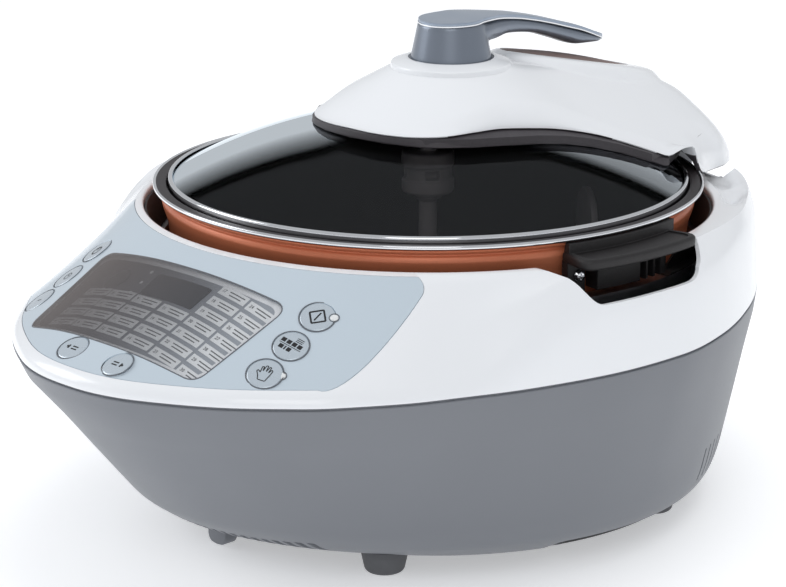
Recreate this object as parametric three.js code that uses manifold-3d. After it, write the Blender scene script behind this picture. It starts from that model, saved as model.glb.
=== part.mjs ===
// Multicooker: a deep round pot in a heated body, under a hinged glass lid whose arm carries
// the motor, the gears and the mixing paddle.
// Millimetres, +Z up. The origin is on the table, under the middle of the appliance. The control
// deck faces -Y, the lid hinges at +Y and the pot handles lie at +X and -X.
// Pieces are worked out about the pot's axis and then shifted to the origin together.

import * as THREE from "three";
import { mergeVertices } from "three/addons/utils/BufferGeometryUtils.js";
import Module from "manifold-3d";

const wasm = await Module();
wasm.setup();

// Body, seen from above: distances from the pot's axis at the line where the shells meet
const frontReach = 253.8;
const sideReach = 181.5;
const rearReach = 199;
const splitHeight = 117.5;
const upperHeight = 50.9;
const bodyTop = splitHeight + upperHeight;
const openingInset = 26.5;
const openingRadius = sideReach - openingInset;
const bodyWall = 2.6;
const lipDepth = 7;
const lipRound = 1.6;
const baseRadius = 138;
const baseRearRadius = 157;
const baseBulge = 1.7;
const baseHeight = 12;
const seamGap = 0.3;
const overrun = 5;

// How far the outline bulges from the side reach to the nose and to the tail, by share of a
// quarter turn
const noseShares = [
  [0, 1],
  [0.05, 0.992],
  [0.095, 0.956],
  [0.15, 0.88],
  [0.23, 0.766],
  [0.303, 0.646],
  [0.351, 0.577],
  [0.408, 0.473],
  [0.483, 0.357],
  [0.551, 0.25],
  [0.616, 0.18],
  [0.732, 0.086],
  [0.89, 0.022],
  [1, 0],
];
const tailShares = [
  [0, 0],
  [0.16, -0.18],
  [0.3, -0.26],
  [0.4, -0.18],
  [0.5, 0],
  [0.58, 0.24],
  [0.76, 0.75],
  [1, 1],
];

// Control deck: a ruled surface from a ring near the opening out to the rounded edge
const deckRingInset = 5;
const deckRing = openingRadius + deckRingInset;
const deckRingDrop = 1.4;
const deckEdgeRun = 4.5;
const deckEdgeRise = 7;
const shoulderRun = 14.5;
const deckEdgeShares = [
  [0.55, 0.25],
  [0.15, 0.6],
  [0, 1],
];
const shoulderShares = [
  [1, 0],
  [0.65, 0.11],
  [0.4, 0.22],
  [0.22, 0.42],
  [0.08, 0.75],
  [0, 1],
];
const lowerWallShares = [
  [0, 0],
  [0.1, 0.04],
  [0.3, 0.203],
  [0.5, 0.355],
  [0.7, 0.51],
  [0.82, 0.605],
  [0.91, 0.721],
  [0.96, 0.852],
  [1, 1],
];
const deckFullAngle = THREE.MathUtils.degToRad(46);
const deckEndAngle = THREE.MathUtils.degToRad(74);
const scoopDepth = 6;
const scoopStart = THREE.MathUtils.degToRad(128);
const scoopFull = THREE.MathUtils.degToRad(137);
const bodySteps = 40;

// Control panel, window and what lies under it
const panelThickness = 1;
const panelMargin = 5.8;
const panelHalfWidth = 119;
const panelSideInset = 3;
const panelCornerStart = THREE.MathUtils.degToRad(31);
const panelCornerEnd = 160;
const panelInnerCorner = 119;
const panelGap = 0.35;
const panelClipWidth = 6;
const panelClipDepth = 1.6;
const windowHalfTop = 70;
const windowHalfBottom = 65;
const windowTop = 168.5;
const windowTopBow = 4;
const windowBottom = 224.2;
const windowBottomBow = 4.8;
const windowCorner = 6;
const windowProud = 0.5;
const windowLedge = 3;
const cardThickness = 0.8;
const lcdWidth = 41;
const lcdDepth = 14.6;
const lcdCentre = 184;
const lcdHeight = 11;
const boardWidth = 104;
const boardLength = 80;
const boardThickness = 1.6;
const boardCentre = 205;
const boardDrop = 15;
const sideBoardWidth = 26;
const sideBoardLength = 63;
const sideBoardDrop = 10;

// Keys, by their distance from the middle and from the pot's axis towards the nose
const keyRadius = 8.8;
const frontKeyRadius = 8.1;
const keyColumn = 86;
const keyColumnLean = 1.2;
const keyRows = [162.3, 181.2, 199.5];
const frontKeyColumn = 17.4;
const frontKeyShift = 5.6;
const frontKeyRow = 237.5;
const keyProud = 0.7;
const keySkirt = 3.4;
const keyStemRadius = 3;
const keyGap = 0.4;
const keyTravelRoom = 0.75;
const ledRadius = 2.3;
const ledOffset = 8.8;
const ledDirectionShare = [0.76, 0.55];

// Pot
const potGap = 5;
const flangeRadius = openingRadius - potGap;
const flangeRise = 11.6;
const flangeTop = bodyTop + flangeRise;
const flangeThickness = 3;
const flangeWidth = 7.4;
const potMouthRadius = flangeRadius - flangeWidth;
const potLedgeDrop = 5.8;
const potLedgeWidth = 3.6;
const flangeOverhang = 6.4;
const potTopRadius = flangeRadius - flangeOverhang;
const potTaper = 12.6;
const potBottomRadius = potTopRadius - potTaper;
const potBottom = 58;
const potCorner = 13;
const potFloorRadius = potBottomRadius - potCorner;
const potWall = 2.4;
const ringSteps = 32;

// Facets round the smaller turned pieces, and how close two corners are before they are one
const middleSteps = 24;
const barSteps = 20;
const smallSteps = 12;
const weldDistance = 1e-4;

// Pot handles
const handleTurn = THREE.MathUtils.degToRad(-4.5);
const gripHalfAngle = THREE.MathUtils.degToRad(14.5);
const gripStandoff = 1.4;
const gripInner = potTopRadius + gripStandoff;
const gripLength = 19;
const gripOuter = flangeRadius + gripLength;
const gripDrop = 10.6;
const gripTop = flangeTop - gripDrop;
const gripThickness = 6;
const gripCorner = 7;
const gripBlockLength = 1.5;
const gripBlockOuter = flangeRadius + gripBlockLength;
const gripBlockDrop = 3.4;
const gripBlockTop = flangeTop - gripBlockDrop;
const gripBoxHalfAngle = THREE.MathUtils.degToRad(8.8);
const gripPocketShares = [-0.6, 0.25, 1.1];
const gripBoxLength = 5.5;
const gripBoxOuter = flangeRadius + gripBoxLength;
const gripBoxDrop = 29.5;
const gripBoxBottom = flangeTop - gripBoxDrop;
const gripBoxPocket = 9;
const gripScrewAngle = THREE.MathUtils.degToRad(-11);
const gripLugWidth = 10;
const gripScrewDrop = 21.5;
const gripScrewHeight = flangeTop - gripScrewDrop;
const screwHeadRadius = 2.4;
const screwHeadHeight = 1.6;
const screwSlotDepth = 0.7;
const screwShank = 1.4;

// Notches in the body for the pot handles, in the handle's own frame
const notchDepth = 16.1;
const notchBottom = bodyTop - notchDepth;
const notchFrontTop = 53;
const notchFrontBottom = 38;
const notchRearTop = 48;
const notchRearBottom = 33;
const notchCorner = 6;
const notchInner = openingRadius - 3 * overrun;

// Heated inside
const linerDrop = 2.9;
const linerTop = bodyTop - linerDrop;
const linerTaper = 7.4;
const linerBottomRadius = openingRadius - linerTaper;
const linerTopRadius = openingRadius - seamGap;
const linerThickness = 1.4;
const linerNotchShare = 1.15;
const wellInset = 8.4;
const wellRadius = openingRadius - wellInset;
const wellDrop = 20;
const wellTop = bodyTop - wellDrop;
const wellRimInset = 1;
const wellRim = openingRadius - wellRimInset;
const linerBottom = wellTop + seamGap;
const wellTaper = 22.6;
const wellFloorRadius = wellRadius - wellTaper;
const wellFloor = 44;
const wellThickness = 1.4;
const heaterInset = 28;
const heaterRadius = wellFloorRadius - heaterInset;
const heaterInner = 22;
const sensorRadius = 9;
const sensorHole = 10;
const shieldInset = 12;
const shieldRadius = wellFloorRadius - shieldInset;
const shieldDrop = 9;
const shieldThickness = 0.9;
const shieldRimHeight = 8.4;

// Base, feet and power
const basePlateThickness = 2.6;
const basePlateBottom = 11;
const footRadius = 10.5;
const footTopRadius = 12.6;
const footInset = 8.5;
const footCircle = baseRadius - footInset;
const footStemShare = 0.36;
const footAngles = [35.2, 119, 241, 324.8];
const pegRadius = 7;
const pegTopRadius = 8;
const pegBottom = 1.2;
const pegOutset = 3;
const pegReach = baseRadius + pegOutset;
const baseScrewInset = 7;
const baseScrewCircle = baseRadius - baseScrewInset;
const baseScrewAngles = [76, 160, 200, 284];
const bossHeight = 9;
const baseScrewRadius = 3.4;
const postRadius = 7;
const grilleSlotWidth = 3.2;
const grillePitch = 7.6;
const grilleCount = 11;
const grilleStart = 84;
const grilleEnd = 124;
const sideVentCount = 4;
const sideVentPitch = 7;
const sideVentWidth = 2.6;
const sideVentBottom = 28;
const sideVentTop = 46;
const sideVentAngle = THREE.MathUtils.degToRad(140);
const powerBoardWidth = 96;
const powerBoardDepth = 34;
const powerBoardHeight = 66;
const powerRibFront = 192;
const powerRibRear = 168;
const powerRibBottom = 34;
const transformerSize = 26;
const transformerHeight = 18;
const capacitorRadius = 7;
const inletWidth = 28;
const inletHeight = 22;
const inletDepth = 24;
const inletBottom = 34;
const inletWall = 2.2;
const inletSetback = 25;
const inletPin = 2;

// Hinge
const hingeSetback = 21;
const hingeReach = openingRadius + hingeSetback;
const hingeDrop = 2;
const hingeHeight = flangeTop - hingeDrop;
const hingePinRadius = 4;
const hingePinGap = 0.3;
const hingeLugRadius = 8;
const hingeBayHalf = 77;
const hingeBaySetback = 4.5;
const hingeBayFront = openingRadius + hingeBaySetback;
const hingeBayDepth = 12.4;
const hingeBayFloor = bodyTop - hingeBayDepth;
const bracketThickness = 4;
const bracketGap = 1.5;
const bracketLugInner = 22;
const bracketLugOuter = 34;
const armLugInner = 35;
const armLugOuter = 49;
const springRadius = 6.2;

// Lid
const rimGap = 1;
const rimRadius = potMouthRadius - rimGap;
const rimRise = 2.6;
const rimTop = flangeTop + rimRise;
const rimWidth = 8.6;
const rimInner = rimRadius - rimWidth;
const rimLipWidth = 4.3;
const rimLipInner = rimRadius - rimLipWidth;
const rimWall = 1.3;
const rimFloor = 0.7;
const domeRise = 33;
const glassTop = rimTop + domeRise;
const glassInset = 1.9;
const glassRadius = rimRadius - glassInset;
const glassEdgeDrop = 2.2;
const glassRise = domeRise + glassEdgeDrop;
const glassSphere = (glassRadius ** 2 + glassRise ** 2) / (2 * glassRise);
const glassThickness = 3;
const glassHole = 17;
const glassArcSteps = 4;

// Arm, seen from above: outline points by share of a half turn and of the arm's length
const armCentre = 60;
const cowlOverhang = 16;
const armLength = hingeReach + cowlOverhang - armCentre;
const armOutlineShares = [
  [0, 0.886],
  [0.06, 0.878],
  [0.128, 0.848],
  [0.205, 0.758],
  [0.283, 0.663],
  [0.37, 0.606],
  [0.46, 0.611],
  [0.536, 0.671],
  [0.602, 0.765],
  [0.639, 0.818],
  [0.693, 0.848],
  [0.746, 0.868],
  [0.787, 0.917],
  [0.816, 0.985],
  [0.852, 1.045],
  [0.905, 1.03],
  [1, 1],
];
const armWall = 2.4;
const armBaseThickness = 4.6;
const armBaseGap = 0.5;
const armBaseOutset = 1.6;
const armRimGap = 2.2;
const archHalfWidth = 52;
const cowlRise = 1;
const cowlBottom = bodyTop + cowlRise;
const cowlStartShare = 0.655;
const cowlFullShare = 0.735;
const mouthStartShare = 0.575;
const cowlTuckShare = 0.87;
const collarRise = 27.8;
const collarHeight = glassTop + collarRise;
const collarRadius = 25;
const handleReach = 17.5;
const coneSlope = 0.55;
const spineHalfWidth = 24;
const spineRound = 5;
const armSteps = 32;
const armRadialShares = [0.25, 0.48, 0.7, 0.87, 1];
const humpCentre = 118;
const humpHalfLength = 67;
const humpHalfWidth = 34;
const humpDrop = 14.8;
const humpTop = collarHeight - humpDrop;
const humpSlope = 0.221;
const humpDepth = 26;
const humpSideShares = [
  [1, 0],
  [0.97, 0.72],
  [0.9, 0.93],
  [0.72, 1],
];
const dishCentre = 109.5;
const dishHalfLength = 48;
const dishHalfWidth = 23;
const dishDepth = 2.4;
const dishWall = 1.8;

// Lever on the arm
const leverBaseRadius = 22;
const leverTopRadius = 18;
const leverRise = 22.6;
const leverTop = collarHeight + leverRise;
const leverCapThickness = 2.2;
const leverSectionSteps = 12;
const leverSquareness = 0.7;
const leverGap = 0.8;
const leverReach = 118;
const spindleRadius = 6;
const spindleFlange = 11;
const spindleFlangeHeight = 2.2;
const spindleGrip = 9;
const spindleGap = 0.3;
const spindleDrop = 1.6;
// Stations along the lever: share of its reach, half width, top and underside height shares
const leverStationShares = [
  [0, 0.95, 0.94, 0.3],
  [0.106, 0.9, 0.965, 0.27],
  [0.216, 0.68, 0.945, 0.266],
  [0.3, 0.58, 0.9, 0.335],
  [0.386, 0.54, 0.83, 0.312],
  [0.504, 0.52, 0.693, 0.22],
  [0.614, 0.52, 0.54, 0.046],
  [0.713, 0.54, 0.385, -0.133],
  [0.797, 0.56, 0.257, -0.284],
  [0.869, 0.54, 0.12, -0.312],
  [0.953, 0.46, -0.05, -0.33],
  [1, 0.3, -0.12, -0.32],
];
// How far the spine of the arm falls, by share of its run behind the lever
const spineDropShares = [
  [0, 0],
  [0.25, 0.095],
  [0.53, 0.21],
  [0.8, 0.385],
  [0.93, 0.52],
  [1, 0.6],
];

// Drive: spur gears in the arm, then the shaft and the paddle
const gearModule = 2;
const outputTeeth = 30;
const idlerTeeth = 27;
const motorTeeth = 12;
const toothHeightShare = 1;
const toothDepthShare = 1.25;
const toothHalfShares = [0.1, 0.24];
const gearWidth = 4;
const gearRunningGap = 0.6;
const axleRadius = 3;
const motorRadius = 20;
const motorHeight = 9.2;
const motorShaft = 2.4;
const motorEar = 4;
const couplingRadius = 13;
const couplingHeight = 22;
const couplingSlotWidth = 9;
const couplingSlotHeight = 5;
const shaftRadius = 5;
const clampRadius = 24;
const clampThickness = 3;
const paddleRise = 3.4;
const paddleBottom = potBottom + paddleRise;
const paddleReach = 104;
const paddleHub = 11;
const paddleHubHeight = 26;
const bladeThickness = 5;
const bladeHeight = 26;
const bladeLean = 12;
const bladeStationShares = [
  [0, 1],
  [0.35, 0.75],
  [0.7, 0.55],
  [1, 0.5],
];
const scraperAngle = THREE.MathUtils.degToRad(56);
const scraperHalfWidth = 18;
const scraperDrop = 14;
const scraperTop = flangeTop - scraperDrop;
const scraperReach = 90;

const mm2 = (x, y) => new THREE.Vector2(x, y);

// Smooth curve through a table of [share, value] pairs, level at both ends
function along(table, share) {
  const t = Math.min(Math.max(share, table[0][0]), table[table.length - 1][0]);
  let i = 0;
  while (i < table.length - 2 && t > table[i + 1][0]) {
    i += 1;
  }
  const slope = (k) => {
    if (k === 0 || k === table.length - 1) {
      return 0;
    }
    return (table[k + 1][1] - table[k - 1][1]) / (table[k + 1][0] - table[k - 1][0]);
  };
  const span = table[i + 1][0] - table[i][0];
  const s = (t - table[i][0]) / span;
  const rest = 1 - s;
  return (
    table[i][1] * (1 + 2 * s) * rest * rest +
    slope(i) * span * s * rest * rest +
    table[i + 1][1] * s * s * (3 - 2 * s) -
    slope(i + 1) * span * s * s * rest
  );
}

const blend = (a, b, share) => a + (b - a) * share;
const ramp = (from, to, value) => THREE.MathUtils.smoothstep(value, from, to);
const quarterTurn = Math.PI / 2;

// Solid from a closed three.js geometry, with its faces turned outwards
function solid(geometry) {
  const bare = new THREE.BufferGeometry();
  bare.setAttribute("position", geometry.getAttribute("position"));
  if (geometry.index) {
    bare.setIndex(geometry.index);
  }
  const merged = mergeVertices(bare, weldDistance);
  const p = merged.getAttribute("position").array;
  const index = merged.index.array;
  const kept = [];
  let volume = 0;
  for (let i = 0; i < index.length; i += 3) {
    const [a, b, c] = [index[i], index[i + 1], index[i + 2]];
    if (a === b || b === c || a === c) {
      continue;
    }
    kept.push(a, b, c);
    const [ax, ay, az] = p.subarray(a * 3, a * 3 + 3);
    const [bx, by, bz] = p.subarray(b * 3, b * 3 + 3);
    const [cx, cy, cz] = p.subarray(c * 3, c * 3 + 3);
    volume += ax * (by * cz - bz * cy) + ay * (bz * cx - bx * cz) + az * (bx * cy - by * cx);
  }
  const outward = volume < 0 ? kept.reverse() : kept;
  const mesh = new wasm.Mesh({ numProp: 3, vertProperties: p, triVerts: Uint32Array.from(outward) });
  return new wasm.Manifold(mesh);
}

// Body turned about the pot's axis from a closed outline of [radius, height] points
function turned(outline, steps = ringSteps) {
  const points = [...outline, outline[0]].map(([r, z]) => mm2(r, z));
  return solid(new THREE.LatheGeometry(points, steps).rotateX(quarterTurn));
}

// Upright prism over an outline of Vector2 points or a Shape
function prism(outline, bottom, top, curveSegments = 6) {
  const shape = Array.isArray(outline) ? new THREE.Shape(outline) : outline;
  const settings = { depth: top - bottom, bevelEnabled: false, curveSegments };
  const geometry = new THREE.ExtrudeGeometry(shape, settings);
  return solid(geometry.translate(0, 0, bottom));
}

function block(x0, x1, y0, y1, z0, z1) {
  const geometry = new THREE.BoxGeometry(x1 - x0, y1 - y0, z1 - z0);
  return solid(geometry.translate((x0 + x1) / 2, (y0 + y1) / 2, (z0 + z1) / 2));
}

// Round bar along Z, or a cone where the top radius differs
function bar(radius, bottom, top, steps = barSteps, topRadius = radius) {
  const geometry = new THREE.CylinderGeometry(topRadius, radius, top - bottom, steps);
  return solid(geometry.rotateX(quarterTurn).translate(0, 0, (bottom + top) / 2));
}

// Surface swept round the vertical axis: profileAt(turn share) gives points in space. A closed
// profile links its last point to its first, and an open one ends on two poles.
function swept(profileAt, steps, closed) {
  const rings = [];
  for (let i = 0; i < steps; i += 1) {
    rings.push(profileAt(i / steps));
  }
  const count = rings[0].length;
  const positions = rings.flat(2);
  const index = [];
  const last = closed ? count : count - 1;
  for (let i = 0; i < steps; i += 1) {
    for (let j = 0; j < last; j += 1) {
      const a = i * count + j;
      const b = i * count + ((j + 1) % count);
      const c = ((i + 1) % steps) * count + j;
      const d = ((i + 1) % steps) * count + ((j + 1) % count);
      index.push(a, b, d, a, d, c);
    }
  }
  const geometry = new THREE.BufferGeometry();
  geometry.setAttribute("position", new THREE.Float32BufferAttribute(positions, 3));
  geometry.setIndex(index);
  return solid(geometry);
}

// Bar whose closed cross-sections, each a ring of points, are joined in order and capped
function lofted(sections) {
  const count = sections[0].length;
  const positions = sections.flat(2);
  const index = [];
  for (let i = 0; i < sections.length - 1; i += 1) {
    for (let j = 0; j < count; j += 1) {
      const a = i * count + j;
      const b = i * count + ((j + 1) % count);
      if (j < count / 2) {
        index.push(a, b, b + count, a, b + count, a + count);
      } else {
        index.push(a, b, a + count, b, b + count, a + count);
      }
    }
  }
  const end = (sections.length - 1) * count;
  for (let j = 1; j < count - 1; j += 1) {
    index.push(0, j + 1, j);
    index.push(end, end + j, end + j + 1);
  }
  const geometry = new THREE.BufferGeometry();
  geometry.setAttribute("position", new THREE.Float32BufferAttribute(positions, 3));
  geometry.setIndex(index);
  return solid(geometry);
}

function moved(shape, x, y, z) {
  return shape.translate([x, y, z]);
}

// Shape turned about the pot's axis, in radians, anticlockwise from above
function turnedBy(shape, angle) {
  return shape.rotate([0, 0, THREE.MathUtils.radToDeg(angle)]);
}

const union = (shapes) => shapes.reduce((a, b) => a.add(b));

const finishes = {
  whiteGloss: { color: 0xf1f3f5, roughness: 0.22, metalness: 0 },
  greyShell: { color: 0x7d8189, roughness: 0.42, metalness: 0.05 },
  silverPanel: { color: 0xb4c0cb, roughness: 0.32, metalness: 0.55 },
  blueGrey: { color: 0x7c8796, roughness: 0.3, metalness: 0.45 },
  smoke: { color: 0x4a4547, roughness: 0.12, metalness: 0 },
  blackPlastic: { color: 0x2a2829, roughness: 0.6, metalness: 0 },
  darkBand: { color: 0x3b383b, roughness: 0.45, metalness: 0 },
  copper: { color: 0xb0623f, roughness: 0.35, metalness: 0.7 },
  steel: { color: 0xc9cbce, roughness: 0.2, metalness: 1 },
  darkSteel: { color: 0x6a6b6e, roughness: 0.45, metalness: 0.9 },
  rubber: { color: 0x55575b, roughness: 0.8, metalness: 0 },
  glass: { color: 0xcfdfe6, roughness: 0.04, metalness: 0, transparent: true, opacity: 0.3 },
  nylon: { color: 0xd9d6cc, roughness: 0.55, metalness: 0 },
  smokyNylon: { color: 0x5a5a5c, roughness: 0.4, metalness: 0 },
  boardGreen: { color: 0x2f6b46, roughness: 0.5, metalness: 0 },
  card: { color: 0x8d9094, roughness: 0.5, metalness: 0 },
};

const appliance = new THREE.Group();

// Adds one named piece to the appliance
function piece(name, shape, finish) {
  const made = shape.getMesh();
  const geometry = new THREE.BufferGeometry();
  geometry.setAttribute("position", new THREE.BufferAttribute(made.vertProperties, 3));
  geometry.setIndex(new THREE.BufferAttribute(made.triVerts, 1));
  geometry.computeVertexNormals();
  const mesh = new THREE.Mesh(geometry, new THREE.MeshStandardMaterial(finishes[finish]));
  mesh.name = name;
  appliance.add(mesh);
  return mesh;
}

// Body outline and deck

// Distance of the split line from the pot's axis, by angle from the nose
function reachAt(angle) {
  const quarters = Math.abs(angle) / quarterTurn;
  if (quarters <= 1) {
    return sideReach + (frontReach - sideReach) * along(noseShares, quarters);
  }
  return sideReach + (rearReach - sideReach) * along(tailShares, quarters - 1);
}

// Height of the deck, ruled from its ring to its edge; it goes on past the edge in a straight line
function deckHeight(angle, radius) {
  const edgeRadius = reachAt(angle) - deckEdgeRun;
  const ringHeight = bodyTop - deckRingDrop;
  const share = (radius - deckRing) / (edgeRadius - deckRing);
  return blend(ringHeight, splitHeight + deckEdgeRise, share);
}

const onDeck = (x, y) => deckHeight(Math.atan2(x, -y), Math.hypot(x, y));

// Outer profile of the upper housing at one angle, from under the lip to the split line
function upperOutline(angle) {
  const reach = reachAt(angle);
  const edgeRadius = reach - deckEdgeRun;
  const front = [0, 0.25, 0.5, 0.75, 1].map((share) => {
    const radius = blend(deckRing, edgeRadius, share);
    return [radius, deckHeight(angle, radius)];
  });
  deckEdgeShares.forEach(([out, down]) => {
    front.push([reach - deckEdgeRun * out, splitHeight + deckEdgeRise * (1 - down)]);
  });
  const shoulder = reach - shoulderRun;
  const scoop = scoopDepth * ramp(scoopStart, scoopFull, angle);
  const side = [0, 0.4].map((share) => {
    const radius = blend(deckRing, shoulder, share);
    return [radius, bodyTop - (share > 0 ? scoop : 0)];
  });
  shoulderShares.forEach(([out, down]) => {
    side.push([reach - shoulderRun * out, blend(bodyTop, splitHeight, down)]);
  });
  const share = ramp(deckFullAngle, deckEndAngle, angle);
  const blended = front.map(([r, z], i) => [blend(r, side[i][0], share), blend(z, side[i][1], share)]);
  return [
    [openingRadius, bodyTop - lipDepth],
    [openingRadius, bodyTop - lipRound],
    [openingRadius + lipRound, bodyTop],
    ...blended,
  ];
}

// The same outline moved inwards by a wall, through the listed points only
function insetOutline(outline, thickness, picked) {
  return picked.map((i) => {
    const before = outline[Math.max(i - 1, 0)];
    const after = outline[Math.min(i + 1, outline.length - 1)];
    const [dr, dz] = [after[0] - before[0], after[1] - before[1]];
    const length = Math.hypot(dr, dz);
    return [outline[i][0] + (thickness * dz) / length, outline[i][1] - (thickness * dr) / length];
  });
}

// Turns [radius, height] points at a turn share into points in space, from the nose round
function around(share, outline) {
  const angle = share * 2 * Math.PI;
  return outline.map(([r, z]) => [r * Math.sin(angle), -r * Math.cos(angle), z]);
}

const foldedAngle = (share) => Math.PI * 2 * Math.min(share, 1 - share);

function upperShell() {
  return swept(
    (share) => {
      const outline = upperOutline(foldedAngle(share));
      const end = outline.length - 1;
      const inner = insetOutline(outline, bodyWall, [end, end - 2, end - 4, end - 6, 4, 0]);
      inner[0] = [outline[end][0] - bodyWall, splitHeight];
      return around(share, [...outline, ...inner]);
    },
    bodySteps,
    true,
  );
}

// Reach of the underside, by share of a full turn: it grows towards the rear
function baseAt(share) {
  const rearward = (1 - Math.cos(2 * Math.PI * share)) / 2;
  return blend(baseRadius, baseRearRadius, rearward ** baseBulge);
}

function lowerShell() {
  const topHeight = splitHeight - seamGap;
  return swept(
    (share) => {
      const reach = reachAt(foldedAngle(share));
      const base = baseAt(share);
      const outer = lowerWallShares.map(([down, inward]) => [
        blend(reach, base, inward),
        blend(topHeight, baseHeight, down),
      ]);
      const inner = lowerWallShares
        .filter((row, i) => i !== 1)
        .map(([down, inward]) => [
          blend(reach - bodyWall, base - bodyWall, inward),
          blend(topHeight, baseHeight, down),
        ])
        .reverse();
      return around(share, [...outer, ...inner]);
    },
    bodySteps,
    true,
  );
}

// Closed slab that follows the deck between two heights over it
function deckSlab(low, high) {
  const steps = bodySteps / 4 + 4;
  const rings = [];
  for (let i = 0; i <= steps; i += 1) {
    const angle = ((i - steps / 2) * 2 * Math.PI) / bodySteps;
    const inner = deckRing - overrun;
    const outer = reachAt(angle) + overrun;
    const corner = (radius, over) => [
      radius * Math.sin(angle),
      -radius * Math.cos(angle),
      deckHeight(angle, radius) + over,
    ];
    rings.push([corner(inner, low), corner(outer, low), corner(outer, high), corner(inner, high)]);
  }
  return lofted(rings);
}

// Outline of the control panel, grown all round by a margin
function panelOutline(grow) {
  const shape = new THREE.Shape();
  const innerAngle = Math.asin((panelHalfWidth - panelSideInset - 4 * lipRound) / deckRing);
  const frontPoint = (angle) => {
    const radius = reachAt(angle) - panelMargin + grow;
    return [radius * Math.sin(angle), -radius * Math.cos(angle)];
  };
  shape.moveTo(...frontPoint(-panelCornerStart));
  const frontSteps = 14;
  for (let i = 1; i <= frontSteps; i += 1) {
    shape.lineTo(...frontPoint(panelCornerStart * ((2 * i) / frontSteps - 1)));
  }
  const side = panelHalfWidth + grow;
  const innerSide = side - panelSideInset;
  const inner = deckRing - grow;
  const [innerX, innerY] = [inner * Math.sin(innerAngle), -inner * Math.cos(innerAngle)];
  const cornerFront = frontPoint(panelCornerStart);
  shape.quadraticCurveTo(side, cornerFront[1] + panelSideInset, side, -panelCornerEnd);
  shape.lineTo(innerSide, -panelInnerCorner);
  shape.quadraticCurveTo(innerSide - lipRound, innerY, innerX, innerY);
  const innerSteps = 12;
  for (let i = 1; i <= innerSteps; i += 1) {
    const angle = innerAngle * (1 - (2 * i) / innerSteps);
    shape.lineTo(inner * Math.sin(angle), -inner * Math.cos(angle));
  }
  shape.quadraticCurveTo(-innerSide + lipRound, innerY, -innerSide, -panelInnerCorner);
  shape.lineTo(-side, -panelCornerEnd);
  shape.quadraticCurveTo(-side, cornerFront[1] + panelSideInset, ...frontPoint(-panelCornerStart));
  return shape;
}

// Outline of the display window, grown all round by a margin
function windowOutline(grow) {
  const shape = new THREE.Shape();
  const top = -windowTop + grow;
  const bottom = -windowBottom - grow;
  const [wide, narrow, corner] = [windowHalfTop + grow, windowHalfBottom + grow, windowCorner];
  shape.moveTo(-wide + corner, top);
  shape.quadraticCurveTo(0, top - 2 * windowTopBow, wide - corner, top);
  shape.quadraticCurveTo(wide, top, wide, top - corner);
  shape.lineTo(narrow, bottom + corner);
  shape.quadraticCurveTo(narrow, bottom, narrow - corner, bottom - windowBottomBow / 4);
  shape.quadraticCurveTo(0, bottom - 2 * windowBottomBow, -narrow + corner, bottom - windowBottomBow / 4);
  shape.quadraticCurveTo(-narrow, bottom, -narrow, bottom + corner);
  shape.lineTo(-wide, top - corner);
  shape.quadraticCurveTo(-wide, top, -wide + corner, top);
  return shape;
}

// Keys: where they lie, the way they are pressed, and how far the board is below them

// Outward direction of the deck at a point
function deckNormal(x, y) {
  const step = lipRound;
  const slopeX = (onDeck(x + step, y) - onDeck(x - step, y)) / (2 * step);
  const slopeY = (onDeck(x, y + step) - onDeck(x, y - step)) / (2 * step);
  return new THREE.Vector3(-slopeX, -slopeY, 1).normalize();
}

const deckPoint = (x, y) => new THREE.Vector3(x, y, onDeck(x, y));

// A board parallel to the deck at one point, and a given drop below it
function boardFrame(x, y, drop) {
  const normal = deckNormal(x, y);
  const centre = deckPoint(x, y).addScaledVector(normal, -drop);
  return { normal, centre };
}

const mainBoard = boardFrame(0, -boardCentre, boardDrop);
const rightBoard = boardFrame(keyColumn, -keyRows[1], sideBoardDrop);
const leftBoard = boardFrame(-keyColumn, -keyRows[1], sideBoardDrop);

// Places a shape made about the Z axis at a point, with +Z along a direction. The shape's own X
// axis stays level.
function aimed(shape, point, direction) {
  const level = new THREE.Vector3(-direction.y, direction.x, 0).normalize();
  const third = new THREE.Vector3().crossVectors(direction, level);
  const m = new THREE.Matrix4().makeBasis(level, third, direction).setPosition(point);
  return shape.transform(m.elements);
}

const keys = [];
keyRows.forEach((row, i) => {
  const x = keyColumn + i * keyColumnLean;
  keys.push({ name: `key_right_${i + 1}`, x, y: -row, radius: keyRadius, board: rightBoard });
  keys.push({ name: `key_left_${i + 1}`, x: -x, y: -row, radius: keyRadius, board: leftBoard });
});
[-1, 1].forEach((side) => {
  const name = side < 0 ? "key_hour" : "key_minute";
  const x = frontKeyShift + side * frontKeyColumn;
  keys.push({ name, x, y: -frontKeyRow, radius: frontKeyRadius, board: mainBoard });
});

// How far the top of a board is below a point of the deck, along the board's own direction
function boardDepth(point, board) {
  return point.clone().sub(board.centre).dot(board.normal) - boardThickness / 2;
}

function keySolid(key) {
  const point = deckPoint(key.x, key.y);
  const depth = boardDepth(point, key.board) - keyTravelRoom;
  const profile = [
    [0, -depth],
    [keyStemRadius, -depth],
    [keyStemRadius, -keySkirt],
    [key.radius, -keySkirt],
    [key.radius, keyProud / 2],
    [key.radius - keyProud, keyProud],
    [0, keyProud],
  ];
  return aimed(turned(profile, barSteps), point, key.board.normal);
}

function keyHole(key, gap) {
  const point = deckPoint(key.x, key.y);
  const depth = boardDepth(point, key.board) - keyTravelRoom;
  return aimed(bar(key.radius + gap, -depth, overrun, barSteps), point, key.board.normal);
}

const leds = [
  { name: "start_light", row: 0 },
  { name: "manual_light", row: 2 },
];

function ledSolid(led, gap, top) {
  const x = keyColumn + led.row * keyColumnLean + ledOffset * ledDirectionShare[0];
  const y = -keyRows[led.row] + ledOffset * ledDirectionShare[1];
  const point = deckPoint(x, y);
  const depth = boardDepth(point, rightBoard) - seamGap;
  return aimed(bar(ledRadius + gap, -depth, top, smallSteps), point, rightBoard.normal);
}

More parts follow.
